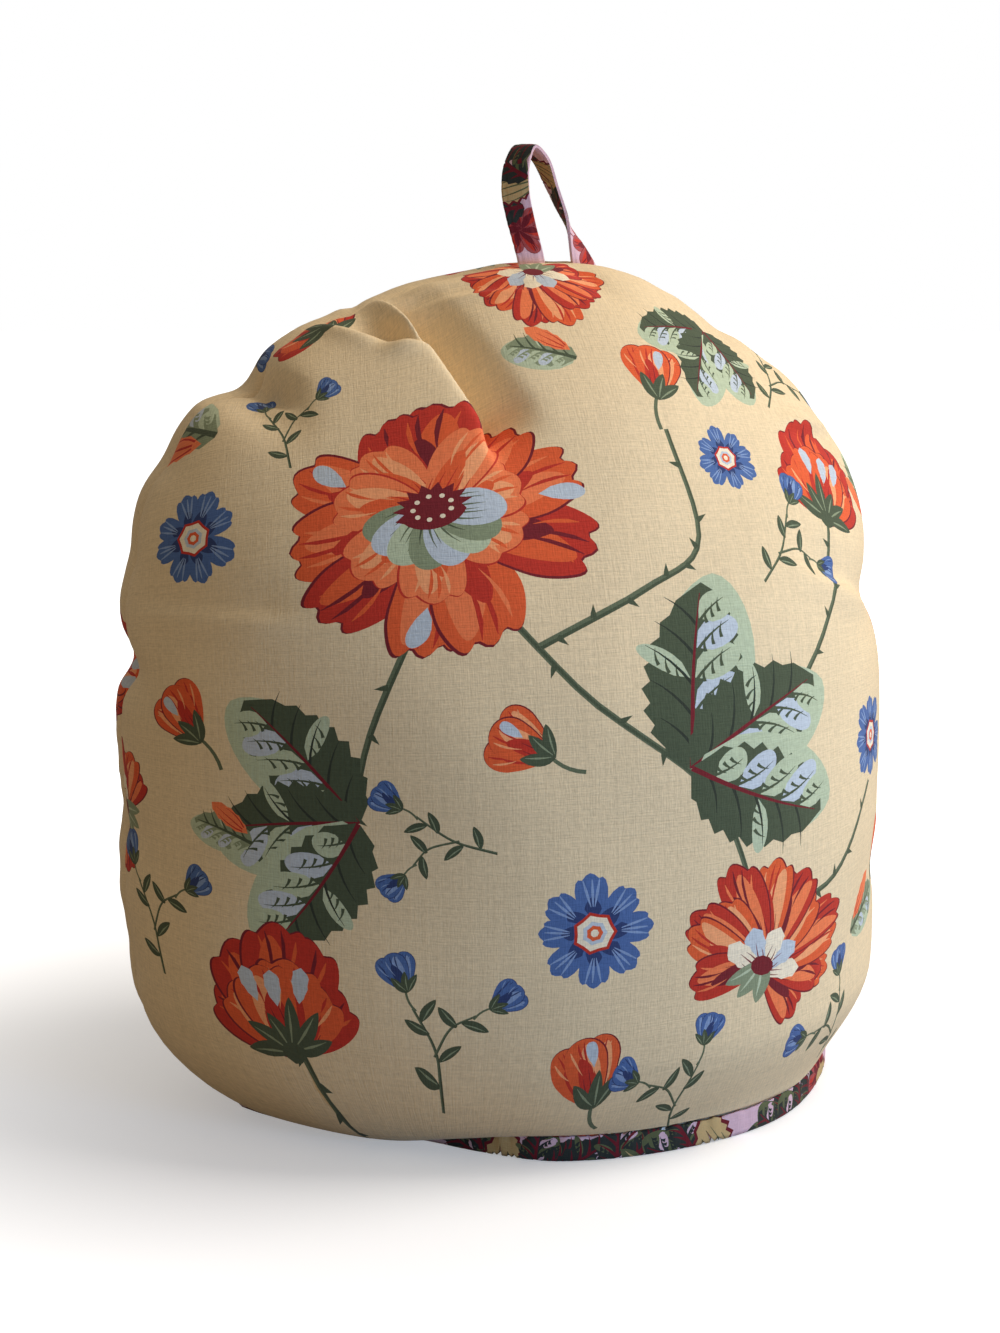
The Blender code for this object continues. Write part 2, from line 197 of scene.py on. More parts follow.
def from_line(a, b, a0, b0, a1, b1):
    """(how far along a line, how far to its left, its length) for each place in the cloth."""
    long = math.hypot(a1 - a0, b1 - b0)
    along = ((a - a0) * (a1 - a0) + (b - b0) * (b1 - b0)) / long
    across = ((b - b0) * (a1 - a0) - (a - a0) * (b1 - b0)) / long
    return along, across, long


def section(z, column):
    """Reach of the middle surface at this height: column 1 left, 2 right, 3 front, 4 back."""
    rows = np.array(SECTIONS)
    return spline(np.clip(z, HEM_TOP, WIDEST), rows[:, 0], rows[:, column], last=0.0)


def to_seam(z, left):
    """Reach of the seam at this height, to the left or to the right."""
    return np.where(left, section(z, 1), section(z, 2))


def slack_of(t):
    """How much of its length the cloth keeps upright, a share t of the way to the seam."""
    return run_out(t) / (EASE * t)


def crown(bearing):
    """Reach of the seam in this direction, above the widest height."""
    rows = np.array(CROWN)
    return spline(np.degrees(bearing), rows[:, 0], rows[:, 1], 0.0, 0.0)


def lean(z):
    """How far back the seam leans at this height."""
    return LEAN * np.clip(z / LEAN_HIGH, 0.0, 1.2) ** 1.6


def run_out(t):
    """Share of the reach covered by a share t of the cloth from the middle to the seam."""
    return np.sin(MEET * t) / math.sin(MEET)


def stand_off(t):
    """Share of the panel's depth left there."""
    return (np.cos(MEET * t) - math.cos(MEET)) / (1 - math.cos(MEET))


def middle(a, b, side):
    """(points, share of the way to the seam, reach to the seam) of the middle surface."""
    a, b = np.broadcast_arrays(np.asarray(a, float), np.asarray(b, float))
    left = a < 0
    deep = section(WIDEST, 3 if side < 0 else 4)
    # above the widest height the cloth runs out from its middle like a dome
    up = np.maximum(b, 0.0)
    bearing = np.arctan2(up, a)
    reach = crown(np.clip(bearing, 0.0, math.pi))
    share = np.hypot(a, up) / (EASE * reach)
    run = reach * run_out(share)
    dome = np.stack(
        [run * np.cos(bearing), deep * stand_off(share), WIDEST + run * np.sin(bearing)], -1
    )
    # below it the cloth hangs in level sections
    down = np.maximum(-b, 0.0)
    slack = slack_of(np.maximum(np.abs(a) / (EASE * to_seam(WIDEST, left)), 1e-6))
    near = slack * down + (1 - slack) * down**2 / (2 * SETTLE)
    drop = np.where(down < SETTLE, near, slack * SETTLE / 2 + down - SETTLE / 2)
    z = WIDEST - drop
    wide = to_seam(z, left)
    t = np.abs(a) / (EASE * wide)
    skirt = np.stack(
        [np.sign(a) * wide * run_out(t), section(z, 3 if side < 0 else 4) * stand_off(t), z],
        -1,
    )
    above = (b >= 0)[..., None]
    point = np.where(above, dome, skirt)
    rows = np.array(HEM)
    across = np.clip(t * np.sign(a), -1.0, 1.0)
    tuck = spline(across, rows[:, 0], rows[:, 3 if side < 0 else 4])
    tuck = tuck * np.clip(1 - point[..., 2] / TUCK_HIGH, 0.0, 1.0) ** 2
    tuck = np.where(b < 0, tuck, 0.0) / np.maximum(np.hypot(point[..., 0], point[..., 1]), 1.0)
    point[..., 0] *= 1 - tuck
    point[..., 1] *= 1 - tuck
    point[..., 1] = side * (point[..., 1] + GAP / 2) + lean(point[..., 2])
    return point, np.where(b >= 0, share, t), np.where(b >= 0, reach, wide)


def outward(a, b, side, from_seam):
    """The way the filling stands out, turned into the seam's plane at the seam itself."""
    step = 0.5
    across = middle(a + step, b, side)[0] - middle(a - step, b, side)[0]
    up = middle(a, b + step, side)[0] - middle(a, b - step, side)[0]
    n = unit(np.cross(across, up) * -side)
    n[..., 1] *= 1 - bell(from_seam, TURN_ZONE)
    return unit(n)


def cloth_at(z, share, left):
    """The panel's cloth (a, b) at this height and share of the way to the seam, below WIDEST."""
    a = share * EASE * to_seam(z, left) * np.where(left, -1, 1)
    slack = slack_of(np.maximum(np.abs(a) / (EASE * to_seam(WIDEST, left)), 1e-6))
    drop = WIDEST - z
    # near solves the first formula for drop in middle() for down
    near = 2 * drop / (slack + np.sqrt(slack**2 + 4 * (1 - slack) / (2 * SETTLE) * drop))
    down = np.where(near < SETTLE, near, drop - slack * SETTLE / 2 + SETTLE / 2)
    return a, -down


WAVE = 0.45  # height of the cloth's slight waves over the wadding
DROP_AT, DROP_SOFT = 2.5, 1.1  # how far right of its line a crest drops into its hollow, and how softly
LAP_WIDE = 12.0  # how much cloth to the left of a crest laps over with it
# a hollow's floor rises from the first, over the second times its width, and fades by the third
RAMP_FROM, RAMP_LONG, RAMP_FADE = 4.0, 1.5, 70.0
# sharp folds: a crest that drops, or laps over, into a hollow to its right
CREASES = {
    -1: (
        # a0, b0, a1, b1, crest, its width, hollow, its width, fade, lap
        (-52, 190, -27, 128, 1.5, 18, 18, 14.5, 12, 6.5),
        (-78, 184, -47, 160, 2.5, 5, 5.5, 4.5, 7, 0),
        (-112, 160, -92, 144, 1.5, 5, 3.5, 7, 8, 0),
        (-34, 187, 2, 184, 1, 3, 1.8, 3.5, 7, 0),
        (128, 132, 104, 128, 1, 5, 2, 7, 9, 0),
        (-128, 70, -96, 66, 0.8, 6, 1.6, 9, 12, 0),
        (128, 62, 96, 70, 1.2, 7, 2.4, 9, 12, 0),
    ),
    1: (
        (-60, 186, -34, 132, 1.5, 6, 4, 12, 12, 0),
        (50, 184, 26, 140, 1.5, 6, 3, 10, 12, 0),
        (100, 140, 74, 118, 1, 6, 2.5, 8, 9, 0),
    ),
}


def creases(a, b, side):
    """Height of the sharp folds and slight waves, and the crests' lap over their hollows."""
    total = WAVE * np.sin(a / 17 + 1.6 * np.sin(b / 29 + side)) * np.sin(b / 21 + 1.3 * np.sin(a / 33))
    laps = np.zeros(np.shape(total) + (2,))
    for a0, b0, a1, b1, crest, crest_wide, hollow, hollow_wide, fade, lap in CREASES[side]:
        along, across, long = from_line(a, b, a0, b0, a1, b1)
        turn = 1 if b1 <= b0 else -1
        way, right = np.array([b0 - b1, a1 - a0]) / long * turn, across * turn
        ends = bell(np.maximum(-along, 0), fade) * bell(np.maximum(along - long, 0), fade)
        step = 1 / (1 + np.exp(-(right - DROP_AT) / DROP_SOFT))
        before = np.minimum(right, 0)
        # the hollow's floor rises in a straight ramp, rounded where it ends
        ramp = 1 - (right - RAMP_FROM) / (RAMP_LONG * hollow_wide)
        ramp = (ramp + np.sqrt(ramp**2 + 0.02)) / 2 * bell(right, RAMP_FADE)
        shape = crest * bell(before, crest_wide) * (1 - step) - hollow * step * ramp
        total = total + shape * ends
        pushed = lap * (1 - step) * bell(before, LAP_WIDE) * ends
        laps += pushed[..., None] * way
    return total, laps


PUCKER_HIGH, PUCKER_LONG = 0.8, 11.0  # the seam's fine puckers: their height, and how far they run in


def gathers(point, from_seam, side):
    """Fine puckers that run in from the sewn seam."""
    # millimetres round the seam
    arc_at = np.arctan2(point[..., 2] - WIDEST, point[..., 0]) * 150.0
    wave = np.sin(arc_at / 2.1 + 1.3 * np.sin(arc_at / 9 + side))
    wave = wave * (0.6 + 0.4 * np.sin(arc_at / 17 + 2 * side))
    wave = 0.7 + 0.45 * wave + 0.35 * np.sin(arc_at / 3.7 + 2.2 * np.sin(arc_at / 23))
    fade = np.exp(-((from_seam / PUCKER_LONG) ** 1.5)) * (1 - bell(from_seam, 2.0))
    return PUCKER_HIGH * wave * fade


def fold_height(a, b, side):
    """Ridges, valleys and broad swells of the panel's outside."""
    total = creases(a, b, side)[0]
    for a0, b0, a1, b1, depth0, depth1, width0, width1 in FOLDS[side]:
        along, across, long = from_line(a, b, a0, b0, a1, b1)
        q = np.clip(along / long, 0.0, 1.0)
        width = width0 + (width1 - width0) * q
        depth = depth0 + (depth1 - depth0) * q * q * (3 - 2 * q)
        total += depth * bell(across, width) * bell(along - q * long, width)
    for a0, b0, wide, tall, amount in SWELLS[side]:
        total += amount * bell(a - a0, wide) * bell(b - b0, tall)
    return total


def pull(point, from_seam, side, short=1.0):
    """How far the seam's gathers draw the cloth in here."""
    x, z = point[..., 0], point[..., 2] - WIDEST
    bearing = np.degrees(np.arctan2(z, x)) % 360.0
    bearing = np.where(bearing > 270.0, bearing - 360.0, bearing)
    radius = np.maximum(np.hypot(x, z), 1.0)
    total = np.zeros(np.shape(x))
    for at, depth, width, front, back in PULLS:
        off = np.radians(bearing - at) * radius
        reach = (front if side < 0 else back) * short
        total += depth * bell(off, width) * np.exp(-((from_seam / reach) ** 1.6))
    return total


def panel_point(a, b, side, layer):
    """Outside (layer 1) or inside (layer 0) of the filled panel."""
    point, share, reach = middle(a, b, side)
    from_seam = np.maximum(1 - share, 0.0) * EASE * reach
    n = outward(a, b, side, from_seam)
    rise = 1 - np.exp(-from_seam / SEAM_ROLL)
    soft = 1 - bell(from_seam, SOFT_ZONE)
    folds = fold_height(a, b, side) * soft
    outside = SEAM_FILL + (OUTER_FILL - SEAM_FILL) * rise + folds
    outside = outside - pull(point, from_seam, side) - gathers(point, from_seam, side)
    under = SEAM_INSIDE + (INNER_FILL - SEAM_INSIDE) * soft + pull(point, from_seam, side, 0.5)
    # a deeper fold pushes the inner cloth in before it
    under = under + np.maximum(-folds - FILLING_GIVES, 0.0)
    shift = creases(a, b, side)[1] * (rise**2 * (layer > 0.5))[..., None]
    lapped = middle(a + shift[..., 0], b + shift[..., 1], side)[0]
    return lapped + n * np.where(layer > 0.5, outside, -under)[..., None]


def hem_foot(across, side):
    """Point of the middle surface at HEM_TOP, and the level way out from it."""
    left, share = across < 0, np.abs(across)
    a, b = cloth_at(HEM_TOP, share, left)
    foot, _, reach = middle(a, b, side)
    n = outward(a, b, side, (1 - share) * EASE * reach)
    n[..., 2] = 0.0
    return foot, unit(n)


def hem_point(across, up, side, layer):
    """The panel from its bottom edge to the top of the hem zone; up is 0 at HEM_TOP, 1 at the top."""
    left, share = across < 0, np.abs(across)
    outside = (layer > 0.5)[..., None]
    foot, out = hem_foot(across, side)
    edge = foot + out * np.where(outside, HEM_FILL, -HEM_FILL)
    edge[..., 2] = HEM_TOP
    start = edge + np.where(outside, out * (SHELF - HEM_FILL), 0.0)
    end, below = (
        panel_point(*cloth_at(HEM_TOP + HEM_ZONE - drop, share, left), side, layer)
        for drop in (0.0, 1.0)
    )
    rise = unit(end - below)
    rows = np.array(HEM)
    sag = spline(across, rows[:, 0], rows[:, 1 if side < 0 else 2])[..., None]
    seam = np.exp(-((1 - share) * EASE * HEM_REACH / TURN_ZONE))[..., None]
    sag = np.where(outside, sag * (1 - 0.5 * seam), 0.0)
    outer = np.where(outside, 1 - seam, 0.0)
    lift = np.zeros_like(out)
    lift[..., 2] = 1.0
    handle_1 = start + outer * out * (2.0 + 5.0 * sag) + lift * 9.0 * (1 - 4.0 * sag)
    handle_2 = end - rise * (12.0 + 16.0 * sag) + outer * out * 4.0 * sag
    q = np.clip((up - SHELF_STEP) / (1 - SHELF_STEP), 0.0, 1.0)[..., None]
    curve = (
        start * (1 - q) ** 3
        + handle_1 * 3 * q * (1 - q) ** 2
        + handle_2 * 3 * q**2 * (1 - q)
        + end * q**3
    )
    step = np.clip(up / SHELF_STEP, 0.0, 1.0)[..., None]
    curve = np.where(up[..., None] < SHELF_STEP, edge + (start - edge) * step, curve)
    curve[..., 2] += np.minimum(up, 0.0) * (HEM_TOP - FOOT)
    return curve


def seam_top(x):
    """Height of the seam's line over this x, at the top of the cosy."""
    bearing = np.radians(np.linspace(55.0, 120.0, 261))
    reach = crown(bearing)
    return np.interp(-x, -reach * np.cos(bearing), WIDEST + reach * np.sin(bearing))


def skin(a, b, side, layer):
    """A panel's outer (layer 1) or inner (layer 0) surface at this place in its cloth."""
    mid, share, _ = middle(a, b, side)
    z = mid[..., 2]
    layer = np.full(np.shape(z), layer)
    up = np.where(z < HEM_TOP, (z - HEM_TOP) / (HEM_TOP - FOOT), (z - HEM_TOP) / HEM_ZONE)
    across = np.clip(np.sign(a) * share, -1.0, 1.0)
    low = hem_point(across, np.clip(up, -1.0, 1.0), side, layer)
    high = panel_point(a, b, side, layer)
    return np.where((z < HEM_TOP + HEM_ZONE)[..., None], low, high)


# ---- Print: motifs as flat shapes, each (outline in mm, colour), drawn from the back forward ----

INK = {
    # name: sRGB
    "ground": (230, 204, 160),
    "calico": (222, 205, 172),
    "orange": (224, 92, 46),
    "coral": (238, 122, 72),
    "peach": (243, 160, 106),
    "red": (190, 50, 34),
    "wine": (118, 30, 36),
    "cream": (240, 222, 188),
    "leaf": (76, 84, 60),
    "leaf_dark": (50, 55, 42),
    "stem": (98, 106, 78),
    "sage": (136, 144, 110),
    "mint": (184, 192, 156),
    "ice": (190, 196, 198),
    "blue": (78, 104, 150),
    "navy": (48, 62, 102),
    "sky": (132, 152, 184),
    "pink": (216, 178, 184),
    "rose": (166, 74, 72),
    "burgundy": (110, 22, 32),
    "black": (44, 48, 42),
    "moss": (92, 96, 62),
    "ochre": (196, 164, 110),
}


def linear(name):
    """The ink as linear colour."""
    shares = (v / 255 for v in INK[name])
    return tuple(c / 12.92 if c <= 0.04045 else ((c + 0.055) / 1.055) ** 2.4 for c in shares)


def moved(shapes, x, y, turn=0.0, size=1.0, flip=False):
    """The shapes turned anticlockwise by turn degrees, resized, and put at (x, y)."""
    c, s = math.cos(math.radians(turn)) * size, math.sin(math.radians(turn)) * size
    grid = np.array([[c, s], [-s, c]])
    if flip:
        grid = np.array([[-1.0, 0.0], [0.0, 1.0]]) @ grid
    return [(points @ grid + (x, y), ink) for points, ink in shapes]


def blade(long, wide, low=0.7, high=0.5, teeth=0, tooth=0.0, bow=0.0, start=0.0, lobes=0, steps=9):
    """Outline of a leaf or a petal that grows up from the origin."""
    if teeth:
        t = np.linspace(0.0, 1.0, 2 * teeth + 2)
        t[1:-1:2] += 0.35 / (2 * teeth + 1)
    else:
        t = 1 - np.linspace(1.0, 0.0, steps) ** min(max(1 / high, 1.4), 2.8)
    peak = low / (low + high)
    half = wide / 2 * (t**low * (1 - t) ** high) / (peak**low * (1 - peak) ** high)
    half = np.maximum(half, start * (1 - t))
    left, right = half.copy(), half.copy()
    if teeth:
        left[2:-1:2] *= 1 - tooth
        right[1:-1:2] *= 1 - tooth
    x = np.concatenate([-left, right[::-1]])
    y = np.concatenate([t, t[::-1]]) * long
    if lobes:
        tip = np.clip((y / long - 0.55) / 0.45, 0.0, 1.0)
        q = np.clip(x / (wide * 0.5), -1, 1)
        y = y - tip * long * 0.09 * (1 - np.abs(np.cos(q * math.pi * lobes / 2)))
    keep = np.concatenate([[True], np.hypot(np.diff(x), np.diff(y)) > 0.05])
    x, y = x[keep], y[keep]
    return np.stack([x + bow * long * (y / long) ** 2, y], -1)


def stroke(points, *widths):
    """A tapering line through the points."""
    points = np.asarray(points, float)
    run = np.linspace(0, 1, len(points))
    half = np.interp(run, np.linspace(0, 1, len(widths)), widths)[:, None] / 2
    along = unit(np.gradient(points, axis=0))
    side = np.stack([-along[:, 1], along[:, 0]], -1) * half
    return np.concatenate([points - side, (points + side)[::-1]])


def arc(x0, y0, x1, y1, bow=0.0, steps=6):
    """Points of a bowed line between two points."""
    t = np.linspace(0, 1, steps)[:, None]
    start, end = np.array([x0, y0]), np.array([x1, y1])
    across = np.array([-(y1 - y0), x1 - x0])
    return start + (end - start) * t + across * bow * 4 * t * (1 - t)


def oval(across, high, count, y=0.0, x=0.0):
    """An ellipse's outline round (x, y), or a jagged one where the radii are rows."""
    q = np.linspace(0, 2 * math.pi, count + 1)[:-1]
    return np.stack([x + across * np.cos(q), y + high * np.sin(q)], -1)


def comb(rng, long, wide, ink, count=5, low=0.05, high=0.6, fat=0.9, bow=0.0, spread=1.0):
    """Engraver's strokes that fan up a petal or a leaf."""
    made = []
    for q in np.linspace(-0.8, 0.8, count):
        q = q + rng.uniform(-0.08, 0.08)
        top = long * (high - 0.16 * abs(q) + rng.uniform(-0.08, 0.08))
        foot = long * (low + rng.uniform(0.0, 0.05))
        x0, x1 = q * wide * 0.16, q * wide * 0.4 * spread
        x0 += bow * long * (foot / long) ** 2
        x1 += bow * long * (top / long) ** 2
        made.append((stroke(arc(x0, foot, x1, top, -0.1 * q, 5), fat, fat * 0.8, 0.12), ink))
    return made


def petal(rng, long, wide, inks, lobes=2.0, bow=0.0):
    """A lobed petal: ground, shade, light flecks from the tip, dark strokes from the foot."""
    base, shade, light, dark = inks
    outline = blade(long, wide, 0.75, 0.3, 0, 0, bow, wide * 0.12, lobes, 21)
    made = [(outline * (1.03, 1.012) + (wide * 0.02, 0), dark), (outline, base)]
    made.append((blade(long * 0.9, wide * 0.5, 0.6, 0.5, 0, 0, bow * 1.5 + 0.08, wide * 0.1, 1.0, 12), light))
    made.append((blade(long * 0.72, wide * 0.42, 0.5, 0.6, 0, 0, bow - 0.10, wide * 0.1, 0, 9), shade))
    for q in (-0.62, -0.2, 0.25, 0.6):
        q += rng.uniform(-0.1, 0.1)
        top, foot = long * (0.95 - 0.2 * q * q), long * rng.uniform(0.42, 0.6)
        x0, x1 = q * wide * 0.22 + bow * foot * foot / long, q * wide * 0.44 + bow * top * top / long
        ink = shade if abs(q) < 0.4 else light
        made.append((stroke(arc(x0, foot, x1, top, 0.06, 5), 0.1, wide * 0.035, wide * 0.07, 0.2), ink))
    made += comb(rng, long, wide * 0.85, dark, 5, 0.02, 0.52, wide * 0.04, bow)
    return made


def spine(long, bow, foot, top, count):
    """Points up the middle of a bowed leaf, between two shares of its length."""
    t = np.linspace(foot, top, count)
    return np.stack([bow * long * t**2, long * t], -1)


def leaf(rng, long, wide, inks=("leaf", "leaf_dark", "mint", "ice"), bow=0.12, teeth=8):
    """A serrated leaf over its pale shadow, lit along one side, with feathered veins."""
    base, dark, light, sheen = inks
    made = [(blade(long * 1.02, wide, 0.6, 0.6, 0, 0, bow, 1.0, 0, 12) + (wide * 0.13, long * 0.03), light)]
    made.append((blade(long, wide, 0.6, 0.66, teeth, 0.16, bow, 0.8), base))
    for i, t in enumerate(np.linspace(0.14, 0.78, 5)):
        half = wide / 2 * (t**0.6 * (1 - t) ** 0.66) / 0.42
        x, y = bow * long * t * t, long * t
        for side in (-1, 1):
            reach = half * rng.uniform(0.78, 0.92)
            turn = math.degrees(math.atan2(-side, 0.75))
            if side > 0 or i == 2:
                far = reach * 1.3
                lobe = blade(far, long * (0.17 if side > 0 else 0.11), 0.6, 0.5, 0, 0, 0.12 * side, 0, 0, 9)
                made += moved([(lobe, sheen if i % 2 else light)], x + side * 0.8, y + long * 0.02, turn)
                for q in (0.1, 0.32, 0.54):
                    line = arc(side * long * 0.05, far * q, -side * long * 0.015, far * (q + 0.2), 0.1, 4)
                    hair = (stroke(line, 1.3, 0.1), base)
                    made += moved([hair], x + side * 0.8, y + long * 0.02, turn)
            vein = arc(x, y - 1, x + side * reach, y + reach * 0.75, 0.06 * side, 5)
            made.append((stroke(vein, 1.1, 0.7, 0.12), dark if side < 0 else base))
    made.append((stroke(spine(long, bow, 0.0, 0.94, 8), 1.7, 1.1, 0.3), "wine" if base == "leaf" else dark))
    return made


def leaflet(long, wide, ink="leaf", light="sage", bow=0.15):
    """A small smooth leaf with one light stroke."""
    made = [(blade(long, wide, 0.7, 0.8, 0, 0, bow, 0.4), ink)]
    line = spine(long, bow, 0.1, 0.85, 5) + (wide * 0.12, 0)
    return made + [(stroke(line, 0.2, wide * 0.16, 0.1), light)]


def stem(points, wide=1.6, thorns=0, ink="stem", dark="leaf"):
    """A bowed stalk, shaded along one side, with thorns."""
    points = np.asarray(points, float)
    run = np.linspace(0, 1, 5 * len(points))
    rows = np.linspace(0, 1, len(points))
    line = np.stack([spline(run, rows, points[:, k]) for k in (0, 1)], -1)
    shade = stroke(line + (wide * 0.2, -wide * 0.2), wide * 0.5, wide * 0.3)
    made = [(stroke(line, wide, wide * 0.75), ink), (shade, dark)]
    for k in range(thorns):
        i = int((k + 0.7) / (thorns + 0.6) * (len(line) - 1))
        step = line[min(i + 1, len(line) - 1)] - line[i - 1]
        turn = math.degrees(math.atan2(-step[0], step[1])) + (62 if k % 2 else -62)
        thorn = blade(wide * 1.9, wide * 0.9, 0.1, 1.0, start=wide * 0.45, steps=5)
        made += moved([(thorn, dark)], *line[i], turn)
    return made


def bloom(rng):
    """A big open flower seen a little from above, about 100 mm across."""
    outer, inner = ("orange", "red", "coral", "wine"), ("coral", "orange", "peach", "red")
    draw, made = rng.uniform, []
    for k in range(10):
        turn = 36 * (k + 0.5) + draw(-8, 8)
        tones = outer if k % 3 else ("red", "wine", "orange", "wine")
        one = petal(rng, draw(46, 54), draw(25, 32), tones, rng.choice([2.0, 3.0]), draw(-0.12, 0.12))
        if k % 3 == 1:
            one += moved([(blade(15, 7, 0.8, 0.4, 0, 0, 0.1, 0, 1.0, 9), "ice")], 4, 33, -14)
        made += moved(one, 0, 0, turn)
    for k in range(7):
        turn = 360 * (k + 0.3) / 7 + draw(-8, 8)
        made += moved(petal(rng, draw(29, 35), draw(19, 24), inner, 2.0, draw(-0.15, 0.15)), 0, 3, turn)
    for k in range(8):
        turn = 100 + 160 * k / 7 + draw(-4, 4)
        ink = ("sage", "ice", "mint")[k % 3]
        cup = [(blade(23, 15, 0.6, 0.5, 0, 0, 0.08, 2.0, 0, 11), ink)]
        cup += comb(rng, 23, 15, "leaf" if k % 3 == 0 else "stem", 6, 0.06, 0.72, 0.9)
        made += moved(cup, 0, 4, turn)
    ring = np.linspace(0, 2 * math.pi, 31)[:-1]
    jag = 1 + 0.16 * (-1.0) ** np.arange(30) * (np.sin(ring) > -0.3)
    made.append((oval(11 * jag, 8.5 * jag, 30, 5), "wine"))
    for k in range(9):
        q = 2 * math.pi * k / 9 + 0.2
        made.append((oval(0.9, 0.9, 8, 5 + 4.6 * math.sin(q), 6.2 * math.cos(q)), "cream"))
    return [(points * (1.0, 0.8), ink) for points, ink in made]


def cup_flower(rng):
    """A half-open flower from the side on its calyx, about 55 mm across."""
    inks, made = ("orange", "red", "peach", "wine"), []
    for turn, long, wide, back in (
        (-52, 30, 22, 0), (52, 31, 22, 0), (-24, 40, 24, 0), (25, 39, 25, 0), (0, 43, 24, 0),
        (-40, 27, 21, 1), (41, 28, 20, 1), (-14, 31, 23, 1), (16, 29, 22, 1),
    ):
        tone = inks if back else (inks[1], inks[3], inks[0], inks[3])
        made += moved(petal(rng, long, wide, tone, 2.0, 0.06 * (1 if turn < 0 else -1)), 0, 0, -turn)
    for q in (-7, 1, 8):
        made += moved([(blade(12, 6, 0.8, 0.4, 3, 0.12), "ice")], q, 15 + abs(q) * 0.2, -q * 2)
    for turn in (-80, -48, -15, 20, 52, 84):
        made += moved(leaflet(rng.uniform(13, 19), 5.5), 0, 0, turn)
    return made + [(oval(4.6, 3.4, 10), "leaf")]


def fringed(rng):
    """A wide ragged flower with narrow petals, about 80 mm across."""
    made = []
    for k in range(13):
        turn = -112 + 224 * k / 12 + rng.uniform(-5, 5)
        inks = ("orange", "red", "peach", "wine") if k % 2 else ("red", "wine", "coral", "wine")
        long = rng.uniform(35, 45) * (1 - 0.34 * (turn / 112) ** 2)
        made += moved(petal(rng, long, rng.uniform(14, 19), inks, 2.0, rng.uniform(-0.15, 0.15)), 0, 0, turn)
    for k in range(5):
        turn = -70 + 35 * k + rng.uniform(-5, 5)
        cup = [(blade(18, 9, 0.8, 0.45, 3, 0.15), "ice" if k % 2 else "cream")]
        made += moved(cup + comb(rng, 18, 7, "wine", 3, 0.0, 0.6, 0.7), 0, -2, turn)
    for turn in (150, 176, 204):
        made += moved(leaflet(17, 7, "sage", "mint"), 0, 2, turn)
    made.append((oval(5, 4, 10), "wine"))
    return [(points * (1.0, 0.9), ink) for points, ink in made]


def daisy(rng):
    """A small blue flower, about 36 mm across."""
    made = []
    for k in range(8):
        one = [(blade(18, 9.6, 0.8, 0.35, 0, 0, 0, 1.6, 2), "blue")]
        one.append((blade(11, 5.5, 0.7, 0.7, 0, 0, 0, 0.8), "navy"))
        one += [(stroke(arc(q * 0.5, 8, q * 2.2, 16, 0), 0.2, 0.9, 0.3), "sky") for q in (-1, 0.2, 1.2)]
        made += moved(one, 0, 0, 45 * k + rng.uniform(-6, 6), rng.uniform(0.92, 1.05))
    jag = 1 + 0.07 * (-1.0) ** np.arange(14)
    for radius, ink in ((6.4, "red"), (5.4, "cream"), (3.6, "ice"), (2.4, "orange"), (1.2, "cream")):
        made.append((oval(radius * jag, radius * jag, 14), ink))
    return made


def bud(rng, size=1.0, ink="orange"):
    """A closed bud in its sepals, about 26 mm long, on a short stalk."""
    inks = (ink, "red", "peach", "wine") if ink == "orange" else ("blue", "navy", "sky", "navy")
    made = [(stroke(arc(0, -13, 0, 1, 0.1), 1.5, 1.3), "stem")]
    for turn, wide in ((20, 12), (-20, 12), (0, 14)):
        made += moved(petal(rng, 23, wide, inks, 1.0), 0, 0, turn)
    made += moved([(blade(9, 4, 0.8, 0.4), "ice")], 2, 12, -8) if ink == "orange" else []
    for turn in (-42, -8, 34):
        made += moved(leaflet(12, 4.6), 0, -1, turn)
    return moved(made, 0, 0, 0, size)


def sprig(rng):
    """A thin branching stalk with small leaves and two blue buds."""
    made = stem([(0, 0), (3, 16), (1, 32)], 1.1)
    made += stem([(2, 14), (10, 22), (19, 24)], 0.9)
    made += moved(bud(rng, 0.55, "blue"), 1, 38, 6) + moved(bud(rng, 0.5, "blue"), 24, 25, -72)
    for x, y, turn in ((1, 6, 55), (3, 12, -60), (3, 22, 48), (2, 27, -40), (12, 22, 30), (14, 23, -120)):
        made += moved(leaflet(9, 3.4), x, y, turn)
    return made


def spray(rng):
    """Three large leaves from one joint."""
    made = []
    for turn in (60, 5, -58):
        made += moved(leaf(rng, 56 * rng.uniform(0.9, 1.08), 34), 0, 0, turn, 1, turn < 0)
    return made


def pair_leaf(rng):
    """A small two-tone leaf, part turned over."""
    made = leaf(rng, 27, 16, ("sage", "leaf", "mint", "ice"), 0.1, 6)
    turned = [(blade(20, 8, 0.7, 0.6, 4, 0.15), "coral")]
    return made + moved(turned + comb(rng, 20, 7, "red", 3, 0.1, 0.8, 0.6), -3, 3, 16)


BACK_SHIFT = 14  # the back's print is mirrored and lies this far over
